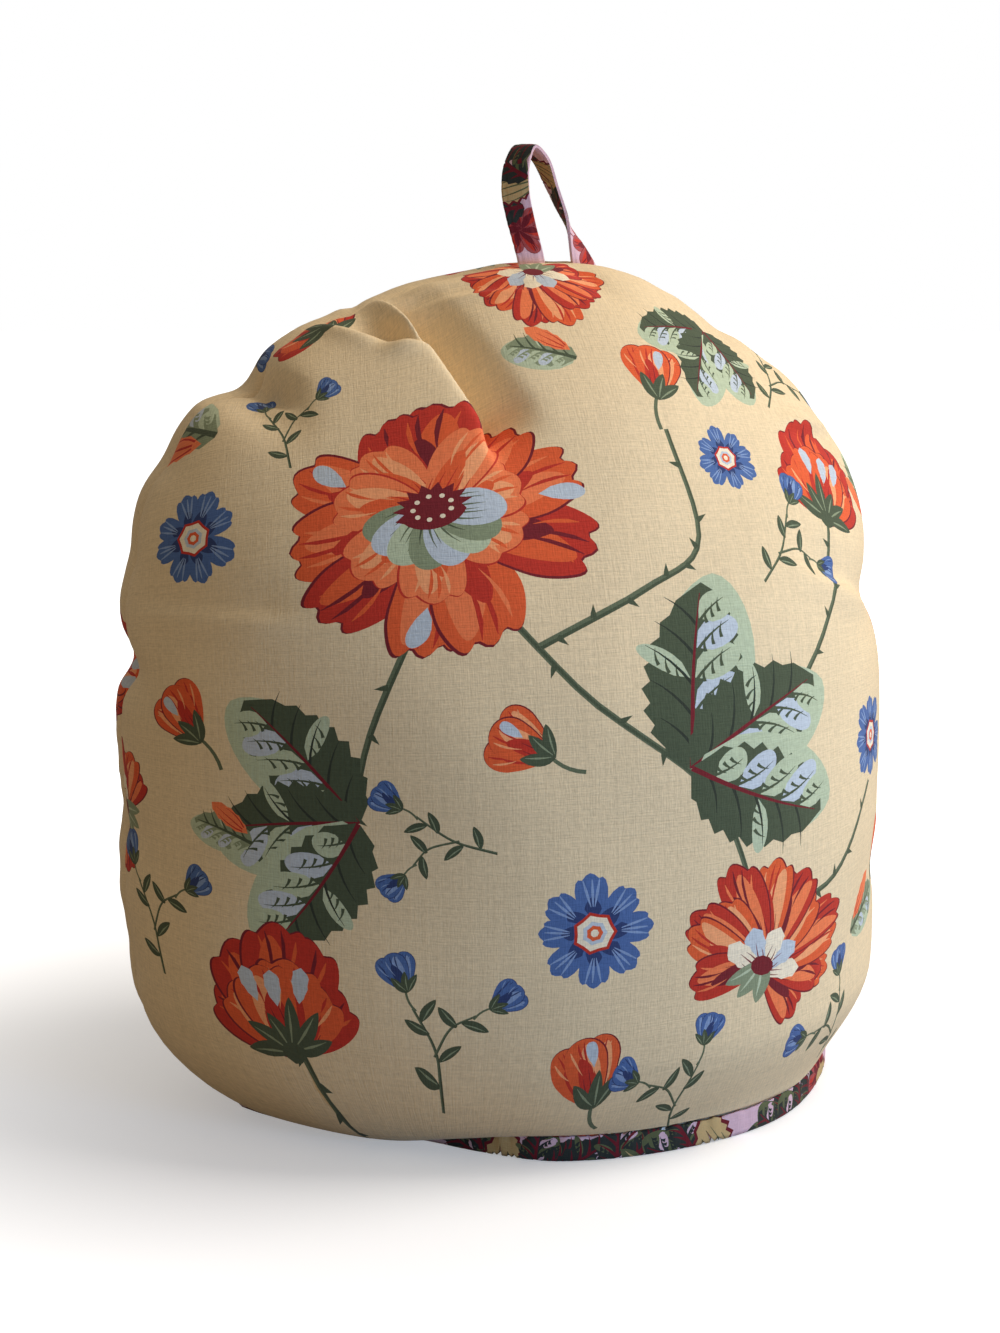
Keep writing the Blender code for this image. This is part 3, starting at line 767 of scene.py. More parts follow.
# stalks as points, and motifs as: motif, a, b, turn, size, mirrored, seed
SCATTER = (
    ("stem", (-36, 84), (2, 40), (40, 8), (58, -34)),
    ("stem", (-36, 84), (-60, 30), (-66, -6)),
    ("stem", (30, 20), (66, 30), (96, 62), (104, 92)),
    ("stem", (-86, -72), (-80, -92), (-70, -112)),
    ("stem", (58, -34), (92, -30), (120, -4)),
    ("stem", (-10, 54), (24, 70), (44, 84), (40, 122)),
    (spray, 34, 16, -62, 0.98, False, 3),
    (spray, -64, 2, 96, 0.86, True, 4),
    (bloom, -38, 94, 12, 1.0, False, 11),
    (fringed, 60, -52, -28, 0.92, False, 5),
    (cup_flower, 104, 92, -14, 0.9, False, 6),
    (cup_flower, -88, -74, 8, 0.95, True, 7),
    (daisy, 4, -32, 0, 1.0, False, 8),
    (daisy, -118, 96, 20, 0.95, False, 9),
    (daisy, 124, 12, 0, 0.9, False, 10),
    (bud, 40, 134, -8, 0.95, False, 12),
    (bud, -116, 26, 38, 0.95, True, 13),
    (bud, 8, -86, 20, 0.9, False, 14),
    (sprig, -40, -84, 18, 0.95, False, 15),
    (sprig, 92, 134, -24, 0.9, False, 16),
    (sprig, -24, -6, 62, 0.8, True, 17),
    (pair_leaf, 108, -56, -66, 1.0, False, 18),
    (pair_leaf, 16, 150, 66, 0.9, True, 19),
    (fringed, 12, 196, 165, 0.8, False, 20),
    (spray, 74, 168, 150, 0.62, True, 21),
    (cup_flower, -70, 176, 52, 0.8, False, 22),
    (pair_leaf, -112, 134, 64, 1.5, False, 23),
    (bloom, -2, -130, 0, 0.72, False, 24),
    (cup_flower, 152, 40, -64, 0.85, False, 25),
    (fringed, -156, -8, 80, 0.85, False, 26),
    (bud, 136, -46, -30, 1.0, False, 27),
    (sprig, -134, -60, 24, 0.95, False, 28),
    (pair_leaf, 148, 96, 30, 1.0, False, 29),
    (sprig, 106, -100, 10, 0.85, True, 30),
    (sprig, 66, 70, -34, 0.85, False, 31),
    (sprig, 36, -104, -10, 0.8, True, 32),
    (bud, -8, 22, 64, 0.85, False, 33),
    (pair_leaf, -98, -8, 70, 0.8, True, 34),
    (sprig, -84, 116, 24, 0.8, False, 35),
    (daisy, 62, 112, 10, 0.7, False, 36),
)

# ---- Cloth: a flat cut, its print cut into it, and its surface in space ----


def within(points, outline):
    """Which points lie inside the outline."""
    x, y = points[:, :1], points[:, 1:]
    x0, y0 = outline.T
    x1, y1 = np.roll(x0, -1), np.roll(y0, -1)
    cross = (y0 > y) != (y1 > y)
    at = (x1 - x0) * (y - y0) / np.where(y1 == y0, 1e-9, y1 - y0) + x0
    return (cross & (x < at)).sum(1) % 2 == 1


NEAR, ON_LINE = 1e-5, 1e-3  # flat points this near each other are one, and this near a line are on it
PAST, UNKNOWN = -1, -2  # labels of triangles outside the outline, and not reached yet


def thinned(shape, slack=0.05):
    """The closed outline without the points that lie within slack of a straight run."""
    kept = [0]
    for i in range(2, len(shape) + 1):
        start = shape[kept[-1]]
        along, off = shape[i % len(shape)] - start, shape[kept[-1] + 1 : i] - start
        far = np.abs(along[0] * off[:, 1] - along[1] * off[:, 0]).max() / max(math.hypot(*along), 1e-9)
        if far > slack:
            kept.append(i - 1)
    return shape[kept]


def found(keys, values, wanted, missing):
    """The value that stands at each wanted key, or missing."""
    order = np.argsort(keys)
    at = order[np.minimum(np.searchsorted(keys, wanted, sorter=order), len(keys) - 1)]
    return np.where(keys[at] == wanted, values[at], missing)


def ends_of(triangles):
    """Start and end of each triangle's three edges."""
    return triangles.ravel(), np.roll(triangles, -1, axis=1).ravel()


def only_seen(flat, triangles, ink, held, first):
    """The same picture in fewer triangles: the held points and the edges where the ink changes."""
    start, end = ends_of(triangles)
    mine, total = np.repeat(ink, 3), len(flat)
    # an edge stays where the triangle on its other side has another ink, or there is none
    other = found(start * total + end, mine, end * total + start, PAST)
    border = mine != other
    keep = held.copy()
    keep[start[border]] = keep[end[border]] = True
    place = np.cumsum(keep) - 1
    a, b = place[start[border]], place[end[border]]
    left, right = mine[border], other[border]
    single = (a < b) | (right == PAST)
    edges = np.stack([a[single], b[single]], 1).tolist()
    done = delaunay_2d_cdt([Vector(p) for p in flat[keep]], edges, [], 0, NEAR, True)
    made_of = np.zeros(int(keep.sum()), int)
    for i, of in enumerate(done[3]):
        made_of[of] = i
    # each new triangle takes the ink beside an edge that stayed, and passes it on over new edges
    a, b, total = made_of[a], made_of[b], len(done[0])
    rim_edge = right == PAST
    known = np.concatenate([a * total + b, b[rim_edge] * total + a[rim_edge]])
    value = np.concatenate([left, right[rim_edge]])
    triangles = np.array(done[2])
    start, end = ends_of(triangles)
    label = found(known, value, start * total + end, UNKNOWN).reshape(-1, 3)
    beside = found(start * total + end, np.arange(len(start)) // 3, end * total + start, -1)
    beside = beside.reshape(-1, 3)
    closed = (label > UNKNOWN) | (beside < 0)
    label = label.max(1)
    grown = np.ones(len(label), bool)
    while grown.any():
        near = np.where(closed, UNKNOWN, label[beside]).max(1)
        grown = (label == UNKNOWN) & (near > UNKNOWN)
        label[grown] = near[grown]
    inner = label >= 0
    return np.array([v[:] for v in done[0]]), triangles[inner], label[inner], made_of[place[first]]


def cut(outline, pitch, ground, shapes=(), fine=None):
    """Flat points, triangles, each triangle's ink, and the outline's first point.

    The points are the outline's, a grid's and the print's.
    """
    low, high = outline.min(0), outline.max(0)
    across = np.arange(low[0] + pitch / 2, high[0], pitch)
    up = np.arange(low[1] + pitch / 2, high[1], pitch)
    grid = np.stack(np.meshgrid(across, up), -1).reshape(-1, 2)
    grid[:, 0] += np.where(np.rint((grid[:, 1] - up[0]) / pitch) % 2 == 1, pitch / 2, 0.0)
    if fine:
        a0, a1, b0, b1, close = fine
        near = (grid[:, 0] > a0) & (grid[:, 0] < a1) & (grid[:, 1] > b0) & (grid[:, 1] < b1)
        more = np.stack(np.meshgrid(np.arange(a0, a1, close), np.arange(b0, b1, close)), -1)
        grid = np.concatenate([grid[~near], more.reshape(-1, 2)])
    grid = grid[within(grid, outline)]
    gap = np.min([((grid - p) ** 2).sum(1) for p in outline], axis=0)
    grid = grid[gap > (0.3 * pitch) ** 2]
    points, faces, inks = [*map(tuple, outline)], [list(range(len(outline)))], [ground]
    for shape, ink in shapes:
        if (shape.max(0) < low).any() or (shape.min(0) > high).any():
            continue
        x, y = shape.T
        turning = np.dot(x, np.roll(y, -1)) - np.dot(y, np.roll(x, -1))
        if abs(turning) < 0.02:
            continue
        if turning < 0:
            shape = shape[::-1]
        shape = thinned(shape)
        if len(shape) < 3:
            continue
        faces.append(list(range(len(points), len(points) + len(shape))))
        points += map(tuple, shape)
        inks.append(ink)
    grid_from = len(points)
    points += map(tuple, grid)
    done = delaunay_2d_cdt([Vector(p) for p in points], [], faces, 0, NEAR, True)
    flat = np.array([v[:] for v in done[0]])
    kept = [(t, max(of)) for t, of in zip(done[2], done[5]) if 0 in of]
    names = sorted(set(inks))
    ink = np.array([names.index(inks[k]) for _, k in kept])
    held = np.array([any(i >= grid_from for i in of) for of in done[3]])
    first = next(i for i, of in enumerate(done[3]) if 0 in of)
    flat, triangles, ink, first = only_seen(flat, np.array([t for t, _ in kept]), ink, held, first)
    return flat, triangles, [names[k] for k in ink], first


def rim(triangles, first):
    """The open edge of the triangles as one loop of points, anticlockwise from the first."""
    ends = np.concatenate([triangles[:, [0, 1]], triangles[:, [1, 2]], triangles[:, [2, 0]]])
    known = set(map(tuple, ends.tolist()))
    after = {i: j for i, j in known if (j, i) not in known}
    loop = [first]
    while after[loop[-1]] != first:
        loop.append(after[loop[-1]])
    return loop


def run_along(points):
    """Share of the whole way round at each point of a closed line."""
    step = np.linalg.norm(np.roll(points, -1, axis=0) - points, axis=1)
    return np.concatenate([[0.0], np.cumsum(step)[:-1]]) / step.sum()


def zipped(one, one_at, two, two_at, closed=True):
    """Triangles between two lines of points that run the same way."""
    if closed:
        one, two = [*one, one[0]], [*two, two[0]]
        one_at, two_at = [*one_at, 1.0], [*two_at, 1.0]
    made, i, k = [], 0, 0
    while i < len(one) - 1 or k < len(two) - 1:
        if k == len(two) - 1 or (i < len(one) - 1 and one_at[i + 1] <= two_at[k + 1]):
            made.append((one[i], one[i + 1], two[k]))
            i += 1
        else:
            made.append((one[i], two[k + 1], two[k]))
            k += 1
    return made


def row_at(flat, axis, value):
    """The points of a flat cut on the line where that coordinate has this value, in order."""
    on = np.flatnonzero(np.abs(flat[:, axis] - value) < ON_LINE)
    return on[np.argsort(flat[on, 1 - axis])].tolist()


def strip_outline(s_row, t_row):
    """The flat outline of a strip, anticlockwise from its first corner."""
    bottom = np.stack([s_row, np.full(len(s_row), t_row[0])], -1)
    end = np.stack([np.full(len(t_row) - 1, s_row[-1]), t_row[1:]], -1)
    top = np.stack([s_row[-2::-1], np.full(len(s_row) - 1, t_row[-1])], -1)
    start = np.stack([np.full(len(t_row) - 2, s_row[0]), t_row[-2:0:-1]], -1)
    return np.concatenate([bottom, end, top, start])


def within_ends(shapes, margin, long):
    """The shapes that stay off a strip's two ends."""
    return [s for s in shapes if s[0][:, 0].min() > margin and s[0][:, 0].max() < long - margin]


def facing(surface, flat, toward=(0.0, 0.0), step=0.4):
    """Unit normals of a surface given as a function of its cloth, taken a little toward its middle."""
    flat = flat + (np.asarray(toward) - flat) * 0.004
    across = surface(flat + (step, 0)) - surface(flat - (step, 0))
    up = surface(flat + (0, step)) - surface(flat - (0, step))
    return unit(np.cross(across, up))


def face_normals(points, triangles):
    """Each triangle's own normal, three times."""
    a, b, c = (points[triangles[:, k]] for k in range(3))
    return np.repeat(unit(np.cross(b - a, c - a))[:, None], 3, 1)


def placed(name, data):
    """A new object in the scene that carries the mesh, lamp or camera."""
    obj = bpy.data.objects.new(name, data)
    bpy.context.scene.collection.objects.link(obj)
    return obj


def build(name, points, triangles, inks, normals, flats):
    """The mesh object: one ink a triangle, its own normals, and its flat layout as OFBake.

    Triangles and normals are lists of parts, and each corner of a triangle has its place in flats.
    """
    triangles, normals = np.concatenate(triangles), np.concatenate(normals)
    mesh = bpy.data.meshes.new(name)
    mesh.from_pydata(((points - (MIDDLE_X, 0.0, 0.0)) * 0.001).tolist(), [], triangles.tolist())
    mesh.update()
    colour = mesh.color_attributes.new("print", "FLOAT_COLOR", "CORNER")
    table = {ink: (*linear(ink), 1.0) for ink in set(inks)}
    tint = np.array([table[ink] for ink in inks], np.float32)
    colour.data.foreach_set("color", np.repeat(tint, 3, axis=0).ravel())
    layer = mesh.uv_layers.new(name="OFBake")
    layer.data.foreach_set("uv", (flats / SHEET_WIDE).astype(np.float32).ravel())
    mesh.shade_smooth()
    mesh.normals_split_custom_set(normals.reshape(-1, 3).tolist())
    return placed(name, mesh)


SHEET_WIDE = 1000.0  # millimetres of cloth across the whole flat layout


def panel_outline():
    """Either panel's flat cut, anticlockwise from the left end of its bottom edge."""
    across = np.linspace(-1, 1, 120)
    foot = np.stack(cloth_at(FOOT, np.abs(across), across < 0), -1)
    z = np.linspace(FOOT, WIDEST, 44)[1:]
    right = np.stack(cloth_at(z, 1.0, np.zeros(len(z), bool)), -1)
    bearing = np.linspace(0, math.pi, 190)[1:-1]
    reach = EASE * crown(bearing)
    top = np.stack([reach * np.cos(bearing), reach * np.sin(bearing)], -1)
    left = np.stack(cloth_at(z[::-1], 1.0, np.ones(len(z), bool)), -1)
    return np.concatenate([foot, right, top, left])


FINE_AREA = (-92, 0, 104, 196, 1.5)  # a from, a to, b from, b to and pitch round the main fold


def printed_panel(name, side, shapes, pitch):
    """A padded panel: printed linen outside, plain cotton inside, closed along its edge."""
    outline = panel_outline()
    outside = lambda flat: skin(flat[:, 0], flat[:, 1], side, 1.0)
    under = lambda flat: skin(flat[:, 0], flat[:, 1], side, 0.0)
    flat, tri, inks, first = cut(outline, pitch, "ground", shapes, FINE_AREA if side < 0 else None)
    low_flat, low_tri, low_inks, low_first = cut(outline[::2], 9.0, "calico")
    count = len(flat)
    loop, low_loop = rim(tri, first), rim(low_tri, low_first)
    low_at = run_along(low_flat[low_loop])
    edge = zipped(loop, run_along(flat[loop]), [i + count for i in low_loop], low_at)
    edge = np.array(edge)[:, [0, 2, 1]]
    points = np.concatenate([outside(flat), under(low_flat)])
    low_tri = low_tri[:, ::-1]
    normal = [facing(outside, flat)[tri], face_normals(points, edge), -facing(under, low_flat)[low_tri]]
    triangles = [tri, edge, low_tri + count]
    if side > 0:
        triangles, normal = [t[:, ::-1] for t in triangles], [-n[:, ::-1] for n in normal]
    inks = inks + ["ground"] * len(edge) + low_inks
    place = np.concatenate([flat, low_flat + (380.0, 0.0)])[np.concatenate(triangles)]
    return build(name, points, triangles, inks, normal, place.reshape(-1, 2) + (200.0, 170.0))


def hem_ring(steps=180):
    """(foot, way out, distance) round the bound edge, from the left seam across the front."""
    across = np.linspace(-1, 1, steps + 1)
    front, front_out = hem_foot(across, -1)
    back, back_out = hem_foot(-across[1:-1], 1)
    foot, out = np.concatenate([front, back]), np.concatenate([front_out, back_out])
    foot, out = np.concatenate([foot, foot[:1]]), np.concatenate([out, out[:1]])
    return foot, out, run_of(foot[:, :2])


def along_line(s, gone, rows):
    """The line's point at each distance s along it."""
    return np.stack([np.interp(s, gone, rows[:, k]) for k in range(rows.shape[1])], -1)


def run_of(rows):
    """Distance along a line at each of its points."""
    return np.concatenate([[0.0], np.cumsum(np.linalg.norm(np.diff(rows, axis=0), axis=1))])


BINDING_OUTSIDE = (
    # out, up, from the edge inside the cosy round to the edge outside it
    (-2.5, 8.6), (-2.9, 9.0), (-3.4, 8.7), (-3.65, 8.0), (-3.7, 4.5), (-3.65, 1.2), (-3.3, 0.35),
    (-2.7, 0.0), (2.7, 0.0), (3.3, 0.35), (3.65, 1.2), (3.75, 4.5), (3.65, 8.0), (3.4, 8.7),
    (2.9, 9.0), (2.5, 8.6),
)
UNDER_RING = 240  # points round each ring under the binding
BINDING_UNDER = ((2.5, 8.2), (2.5, 4.5), (2.5, 1.3), (0.0, 1.0), (-2.5, 1.3), (-2.5, 4.5), (-2.5, 8.2))


def bound_hem(shapes):
    """The binding: one strip of cloth folded round both panels' edges and joined end to end."""
    foot, out, gone = hem_ring()
    whole = gone[-1]
    rows = np.array(BINDING_OUTSIDE)
    t_at = run_of(rows)
    wide = t_at[-1]

    def at(s, o, up):
        """The place s round the hem, o outward from the panels' edge, at height up."""
        s = np.mod(s, whole)
        base, way = along_line(s, gone, foot[:, :2]), along_line(s, gone, out[:, :2])
        way_round = s * 2 * math.pi / whole
        ripple = 0.22 * np.sin(61 * way_round + 2 * np.sin(7 * way_round)) + 0.15 * np.sin(107 * way_round)
        # the binding's lower edge is straight, and its upper one ripples where it is sewn
        high = np.clip((up - 1.0) / 8.0, 0, 1)
        o = o + np.sign(o) * ripple * high * (np.abs(o) > 2.8)
        return np.concatenate([base + way * o[:, None], (up + ripple * 0.8 * high**2)[:, None]], 1)

    def outside(flat):
        return at(flat[:, 0], *along_line(np.clip(flat[:, 1], 0, wide), t_at, rows).T)

    outline = strip_outline(np.linspace(0, whole, 331), np.linspace(0, wide, 16))
    flat, tri, inks, _ = cut(outline, 1.7, "pink", within_ends(shapes, 0.8, whole))
    # under the folded strip: rings of points inside it, joined to each other and to its two long edges
    step = np.arange(UNDER_RING)
    s_low, low_at = step * whole / UNDER_RING, (step / UNDER_RING).tolist()
    under = [at(s_low, np.full(UNDER_RING, o), np.full(UNDER_RING, up)) for o, up in BINDING_UNDER]
    rings = [len(flat) + k * UNDER_RING + step for k in range(len(BINDING_UNDER))]
    low = []
    for one, two in zip(rings, rings[1:]):
        a, b, c, d = one, np.roll(one, -1), np.roll(two, -1), two
        low += np.stack([a, b, c, a, c, d], 1).reshape(-1, 3).tolist()
    outer_top, inner_top = row_at(flat, 1, wide), row_at(flat, 1, 0.0)
    top = zipped(outer_top, (flat[outer_top, 0] / whole).tolist(), rings[0].tolist(), low_at)
    end = zipped(inner_top, (flat[inner_top, 0] / whole).tolist(), rings[-1].tolist(), low_at)
    hidden = np.array(top + [(a, c, b) for a, b, c in end] + low)
    points = np.concatenate([outside(flat), *under])
    normal = [facing(outside, flat, (whole / 2, wide / 2), 0.3)[tri], face_normals(points, hidden)]
    spare = np.tile([[0.0, 30.0], [1.0, 30.0], [0.0, 31.0]], (len(hidden), 1))
    place = np.concatenate([flat[tri].reshape(-1, 2), spare]) + (10.0, 400.0)
    return build("binding_cloth", points, [tri, hidden], inks + ["pink"] * len(hidden), normal, place)


GROOVE_AT = 3.5  # the stitches' groove lies this far either side of the tape's middle
TAPE_SEAM = 0.5  # half the tape's seam, which the print leaves out


def tape_loop(shapes):
    """The hanging loop, a folded tape whose two long edges are sewn together, and its length."""
    rows = np.array(LOOP)
    for row in (rows[0], rows[-1]):
        edges = row[0] + TAPE_WIDE / 2 * np.array([-1.0, 0.0, 1.0])
        row[2] = seam_top(edges).max() + SEAM_FILL + ROOT_CLEAR
    gone = run_of(rows[:, :3])
    long = gone[-1]
    table = np.linspace(0, long, 400)
    path = np.stack([spline(table, gone, rows[:, k]) for k in range(3)], -1)
    turn = np.radians(spline(table, gone, rows[:, 3]))
    wide = np.stack([np.cos(turn), np.sin(turn), 0 * turn], -1)
    along = np.gradient(path, axis=0)
    along[0], along[-1] = (0.0, 0.0, 1.0), (0.0, 0.0, -1.0)
    face = unit(np.cross(wide, along))
    q = np.linspace(0, 2 * math.pi, 97)
    sec = np.stack([
        TAPE_WIDE / 2 * np.sign(np.cos(q)) * np.abs(np.cos(q)) ** 0.5,
        TAPE_THICK / 2 * np.sign(np.sin(q)) * np.abs(np.sin(q)) ** 0.6,
    ], -1)
    t_at = run_of(sec)
    around = t_at[-1]

    def surface(flat):
        s, t = np.clip(flat[:, 0], 0, long), np.mod(flat[:, 1], around)
        x, y = along_line(t, t_at, sec).T
        # a shallow groove beside each edge, and a slight cup across the tape
        y = y * (1 - 0.25 * bell(np.abs(x) - GROOVE_AT, 0.45))
        y = y + 0.12 * np.sin(s * 0.55) * (1 - (x / (TAPE_WIDE / 2)) ** 2)
        middle_at, wide_at, face_at = (along_line(s, table, v) for v in (path, wide, face))
        return middle_at + wide_at * x[:, None] + face_at * y[:, None]

    outline = strip_outline(np.linspace(0, long, 90), np.linspace(TAPE_SEAM, around - TAPE_SEAM, 22))
    flat, tri, inks, _ = cut(outline, 1.0, "pink", within_ends(shapes, 0.5, long))
    high, low = row_at(flat, 1, around - TAPE_SEAM), row_at(flat, 1, TAPE_SEAM)
    seam = zipped(high, (flat[high, 0] / long).tolist(), low, (flat[low, 0] / long).tolist(), False)
    start, end = row_at(flat, 0, 0.0), row_at(flat, 0, long)
    caps = [(start[0], start[i], start[i + 1]) for i in range(1, len(start) - 1)]
    caps += [(end[0], end[i + 1], end[i]) for i in range(1, len(end) - 1)]
    hidden = np.array(seam + caps)
    points = surface(flat)
    normal = [facing(surface, flat, (long / 2, around / 2), 0.2)[tri], face_normals(points, hidden)]
    place = flat[np.concatenate([tri, hidden])].reshape(-1, 2) + (10.0, 440.0)
    inks += ["pink"] * len(hidden)
    return build("loop_tape", points, [tri, hidden], inks, normal, place), long


# ---- Finishes ----


def put(node, **values):
    """Sets a node's sockets, each named by its label with _ for a space."""
    for label, value in values.items():
        node.inputs[label.replace("_", " ")].default_value = value


def new_material(name):
    """(material, its node tree, its shader)."""
    material = bpy.data.materials.new(name)
    material.use_nodes = True
    return material, material.node_tree, material.node_tree.nodes["Principled BSDF"]


def woven(name, thread, contrast, slub, rough, sheen):
    """Plain weave printed with the piece's inks: threads both ways, slubs, and slight fading."""
    material, tree, shader = new_material(name)
    add, link = tree.nodes.new, tree.links.new

    def maths(kind, one, two):
        node = add("ShaderNodeMath")
        node.operation = kind
        for socket, value in zip(node.inputs, (one, two)):
            if isinstance(value, (int, float)):
                socket.default_value = value
            else:
                link(value, socket)
        return node.outputs[0]

    def spread(value, by):
        return maths("MULTIPLY", maths("SUBTRACT", value, 0.5), by)

    def noise(scale_u, scale_v, detail, shift=0.0):
        place = add("ShaderNodeMapping")
        scale = (SHEET_WIDE * scale_u, SHEET_WIDE * scale_v, 1.0)
        put(place, Scale=scale, Location=(shift, shift * 0.7, shift))
        node = add("ShaderNodeTexNoise")
        put(node, Scale=1.0, Detail=detail)
        link(flat.outputs["UV"], place.inputs["Vector"])
        link(place.outputs["Vector"], node.inputs["Vector"])
        return node.outputs["Fac"]

    flat = add("ShaderNodeUVMap")
    flat.uv_map = "OFBake"
    ink = add("ShaderNodeAttribute")
    ink.attribute_name = "print"
    warp = noise(1 / thread, 0.4, 1.0)
    weft = noise(0.4, 1 / thread, 1.0, 3.1)
    slub_warp = noise(0.8 / thread, 0.05, 0.0, 7.7)
    slub_weft = noise(0.05, 0.8 / thread, 0.0, 9.2)
    threads = maths("MULTIPLY", maths("ADD", warp, weft), 0.5)
    slubs = maths("MULTIPLY", maths("ADD", slub_warp, slub_weft), 0.5)
    weave = maths("ADD", spread(threads, contrast), spread(slubs, slub))
    fade = spread(noise(0.012, 0.012, 2.0, 5.0), 0.14)
    tone = maths("ADD", maths("ADD", weave, fade), 1.0)
    shaded = add("ShaderNodeVectorMath")
    shaded.operation = "SCALE"
    link(ink.outputs["Color"], shaded.inputs[0])
    link(tone, shaded.inputs["Scale"])
    link(shaded.outputs[0], shader.inputs["Base Color"])
    bump = add("ShaderNodeBump")
    put(bump, Strength=0.55, Distance=0.0003)
    link(maths("ADD", threads, maths("MULTIPLY", slubs, 0.6)), bump.inputs["Height"])
    link(bump.outputs["Normal"], shader.inputs["Normal"])
    put(shader, Roughness=rough, Specular_IOR_Level=0.25, Sheen_Weight=sheen, Sheen_Roughness=0.45)
    return material


def show(tree, seen, lit, output):
    """The camera sees one shader, and the light that falls on the cosy comes from the other."""
    ray, mix = tree.nodes.new("ShaderNodeLightPath"), tree.nodes.new("ShaderNodeMixShader")
    tree.links.new(ray.outputs["Is Camera Ray"], mix.inputs[0])
    tree.links.new(lit.outputs[0], mix.inputs[1])
    tree.links.new(seen.outputs[0], mix.inputs[2])
    tree.links.new(mix.outputs[0], tree.nodes[output].inputs["Surface"])


def pale_floor():
    """A white floor: it glows more with distance, so that it meets the background unseen."""
    material, tree, shader = new_material("pale_floor")
    add, link = tree.nodes.new, tree.links.new
    put(shader, Base_Color=(0.82, 0.83, 0.84, 1.0), Roughness=0.9, Specular_IOR_Level=0.0)
    place, far, ramp = add("ShaderNodeNewGeometry"), add("ShaderNodeVectorMath"), add("ShaderNodeMapRange")
    far.operation = "LENGTH"
    ramp.interpolation_type = "SMOOTHSTEP"
    put(ramp, From_Min=0.10, From_Max=0.40, To_Min=0.32, To_Max=1.0)
    link(place.outputs["Position"], far.inputs[0])
    link(far.outputs["Value"], ramp.inputs["Value"])
    put(shader, Emission_Color=(1.0, 1.0, 1.0, 1.0))
    link(ramp.outputs["Result"], shader.inputs["Emission Strength"])
    dim = add("ShaderNodeBsdfDiffuse")
    put(dim, Color=(0.40, 0.34, 0.27, 1.0))
    show(tree, shader, dim, "Material Output")
    return material


# ---- Pieces ----


def panel_print(side):
    """The shapes printed on a panel, from the table."""
    made = []
    for row in SCATTER:
        if row[0] == "stem":
            points = [(-side * a + (BACK_SHIFT if side > 0 else 0), b) for a, b in row[1:]]
            made += stem(points, 2.2, 2 * (len(row) - 1))
            continue
        motif, a, b, turn, size, flip, seed = row
        if side > 0:
            a, turn, flip, seed = BACK_SHIFT - a, -turn, not flip, seed + 50
        made += moved(motif(np.random.RandomState(seed)), a, b, turn, size, flip)
    return made


def trim_print(long, wide, seed, scale=1.0, spread=1.0):
    """A dense small floral for the contrast cloth, in a run of leaves, fans and petals."""
    rng = np.random.RandomState(seed)
    made, s = [], 6.0
    dark = ("black", "burgundy", "moss", "pink")
    while s < long - 6:
        kind, turn, t = rng.choice([0, 0, 1, 2, 2, 3, 4]), rng.uniform(-80, 80), rng.uniform(0.15, 0.85)
        size = rng.uniform(0.8, 1.15) * scale
        if kind in (0, 3):
            one = moved(leaf(rng, 22, 13, dark, 0.1, 6), 0, -9)
            one += moved(leaf(rng, 17, 10, dark, -0.1, 5), 3, -4, -50)
        elif kind == 1:
            one = []
            for k in range(7):
                one += moved(petal(rng, 12, 7, ("rose", "burgundy", "red", "burgundy"), 1.0), 0, 0, 51 * k)
        elif kind == 2:
            one = [(blade(24, 15, 0.7, 0.6, 6, 0.2, 0.1), "burgundy")]
            one.append((blade(22, 12.5, 0.7, 0.6, 6, 0.2, 0.1) + (0, 0.8), "ochre"))
            one += moved(comb(rng, 20, 13, "moss", 5, 0.0, 0.9, 0.6), 0, 0)
            one = moved(one, 0, -11)
        else:
            lines = (arc(-9, q, 9, q + 3, 0.2 * (-1) ** q) for q in (-5, -2, 1, 4))
            one = [(stroke(line, 0.2, 0.9, 0.2), "burgundy") for line in lines]
            one += moved(leaflet(10, 5, "moss", "ochre"), -3, -3, 30)
            one += moved(leaflet(8, 4, "ice", "blue"), 5, 0, -40)
        made += moved(one, s, t * wide, turn, size)
        s += rng.uniform(8, 14) * scale * spread
    return made


pitch = 2.5
linen = woven("printed_linen", 0.45, 0.58, 0.26, 0.88, 0.08)
cotton = woven("contrast_print", 0.35, 0.25, 0.08, 0.82, 0.08)
dressed = []
for name, side in (("front_cloth", -1), ("back_cloth", 1)):
    piece = printed_panel(name, side, panel_print(side), pitch)
    piece.data.materials.append(linen)
    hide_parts("panel_front" if side < 0 else "panel_back")
    dressed.append(piece)
hem_long = hem_ring()[2][-1]
hem = bound_hem(trim_print(hem_long, 25.0, 3))
tape, tape_long = tape_loop(trim_print(97.0, 21.0, 8, 0.8, 0.7))
for piece, node, flat_size in (
    (hem, "hem_binding", (0.0262, hem_long * 0.001)),
    (tape, "hanging_loop", (0.0108, tape_long * 0.001)),
):
    piece.data.materials.append(cotton)
    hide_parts(node)
    dressed.append(piece)
for piece in dressed:
    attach(piece, "root")

# ---- Floor, light and camera ----

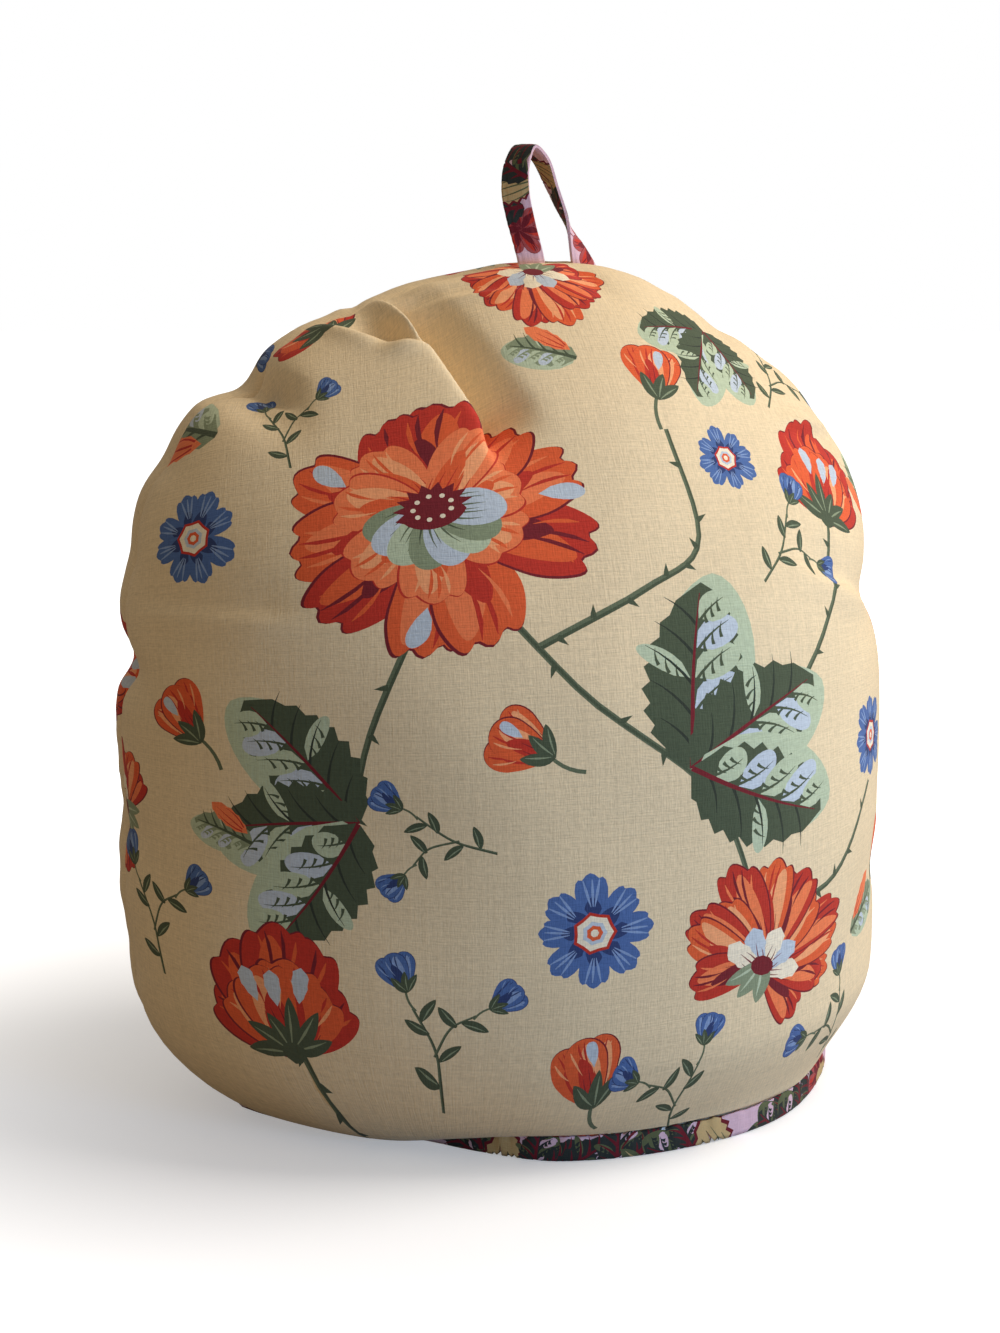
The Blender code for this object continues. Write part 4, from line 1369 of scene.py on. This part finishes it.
FLOOR_REACH, FLOOR_SIDES = 4.0, 64
floor_mesh = bpy.data.meshes.new("floor")
ring = [(x, y, 0.0) for x, y in oval(FLOOR_REACH, FLOOR_REACH, FLOOR_SIDES)]
floor_mesh.from_pydata(ring, [], [list(range(FLOOR_SIDES))])
floor = placed("floor", floor_mesh)
floor_mesh.materials.append(pale_floor())


def area(name, place, aim, size, power, colour):
    """A square lamp that faces its aim."""
    light = bpy.data.lights.new(name, "AREA")
    light.size, light.energy, light.color = size, power, colour
    obj = placed(name, light)
    obj.location = place
    obj.rotation_euler = (Vector(aim) - Vector(place)).to_track_quat("-Z", "Y").to_euler()


area("key", (0.80, -0.28, 1.12), (0, 0, 0.15), 0.75, 12.6, (1.0, 0.93, 0.86))
area("side", (1.1, -0.25, 0.32), (0, 0, 0.15), 0.5, 2.2, (1.0, 0.93, 0.85))
area("window", (0.58, -0.82, 0.15), (0.05, 0, 0.0), 0.28, 4.8, (0.20, 0.50, 1.0))

world = bpy.data.worlds.new("studio")
world.use_nodes = True
bpy.context.scene.world = world
soft = world.node_tree.nodes["Background"]
put(soft, Color=(1.0, 0.91, 0.81, 1.0), Strength=0.32)
seen = world.node_tree.nodes.new("ShaderNodeBackground")
put(seen, Color=(1.0, 1.0, 1.0, 1.0))
show(world.node_tree, seen, soft, "World Output")
bpy.context.scene.view_settings.view_transform = "Standard"

lens = bpy.data.cameras.new("camera")
lens.sensor_fit, lens.sensor_width, lens.lens = "HORIZONTAL", 36.0, 84.4
lens.clip_start, lens.clip_end = 0.01, 20.0
camera = placed("camera", lens)
AIM, CAMERA_FAR = (-MIDDLE_X * 0.001, 0.0, 0.150), 0.8
round_left, above = math.radians(-15.0), math.radians(12.0)
level = math.cos(above)
back_way = Vector((math.sin(round_left) * level, -math.cos(round_left) * level, math.sin(above)))
camera.location = Vector(AIM) + back_way * CAMERA_FAR
camera.rotation_euler = (-back_way).to_track_quat("-Z", "Y").to_euler()
bpy.context.scene.camera = camera
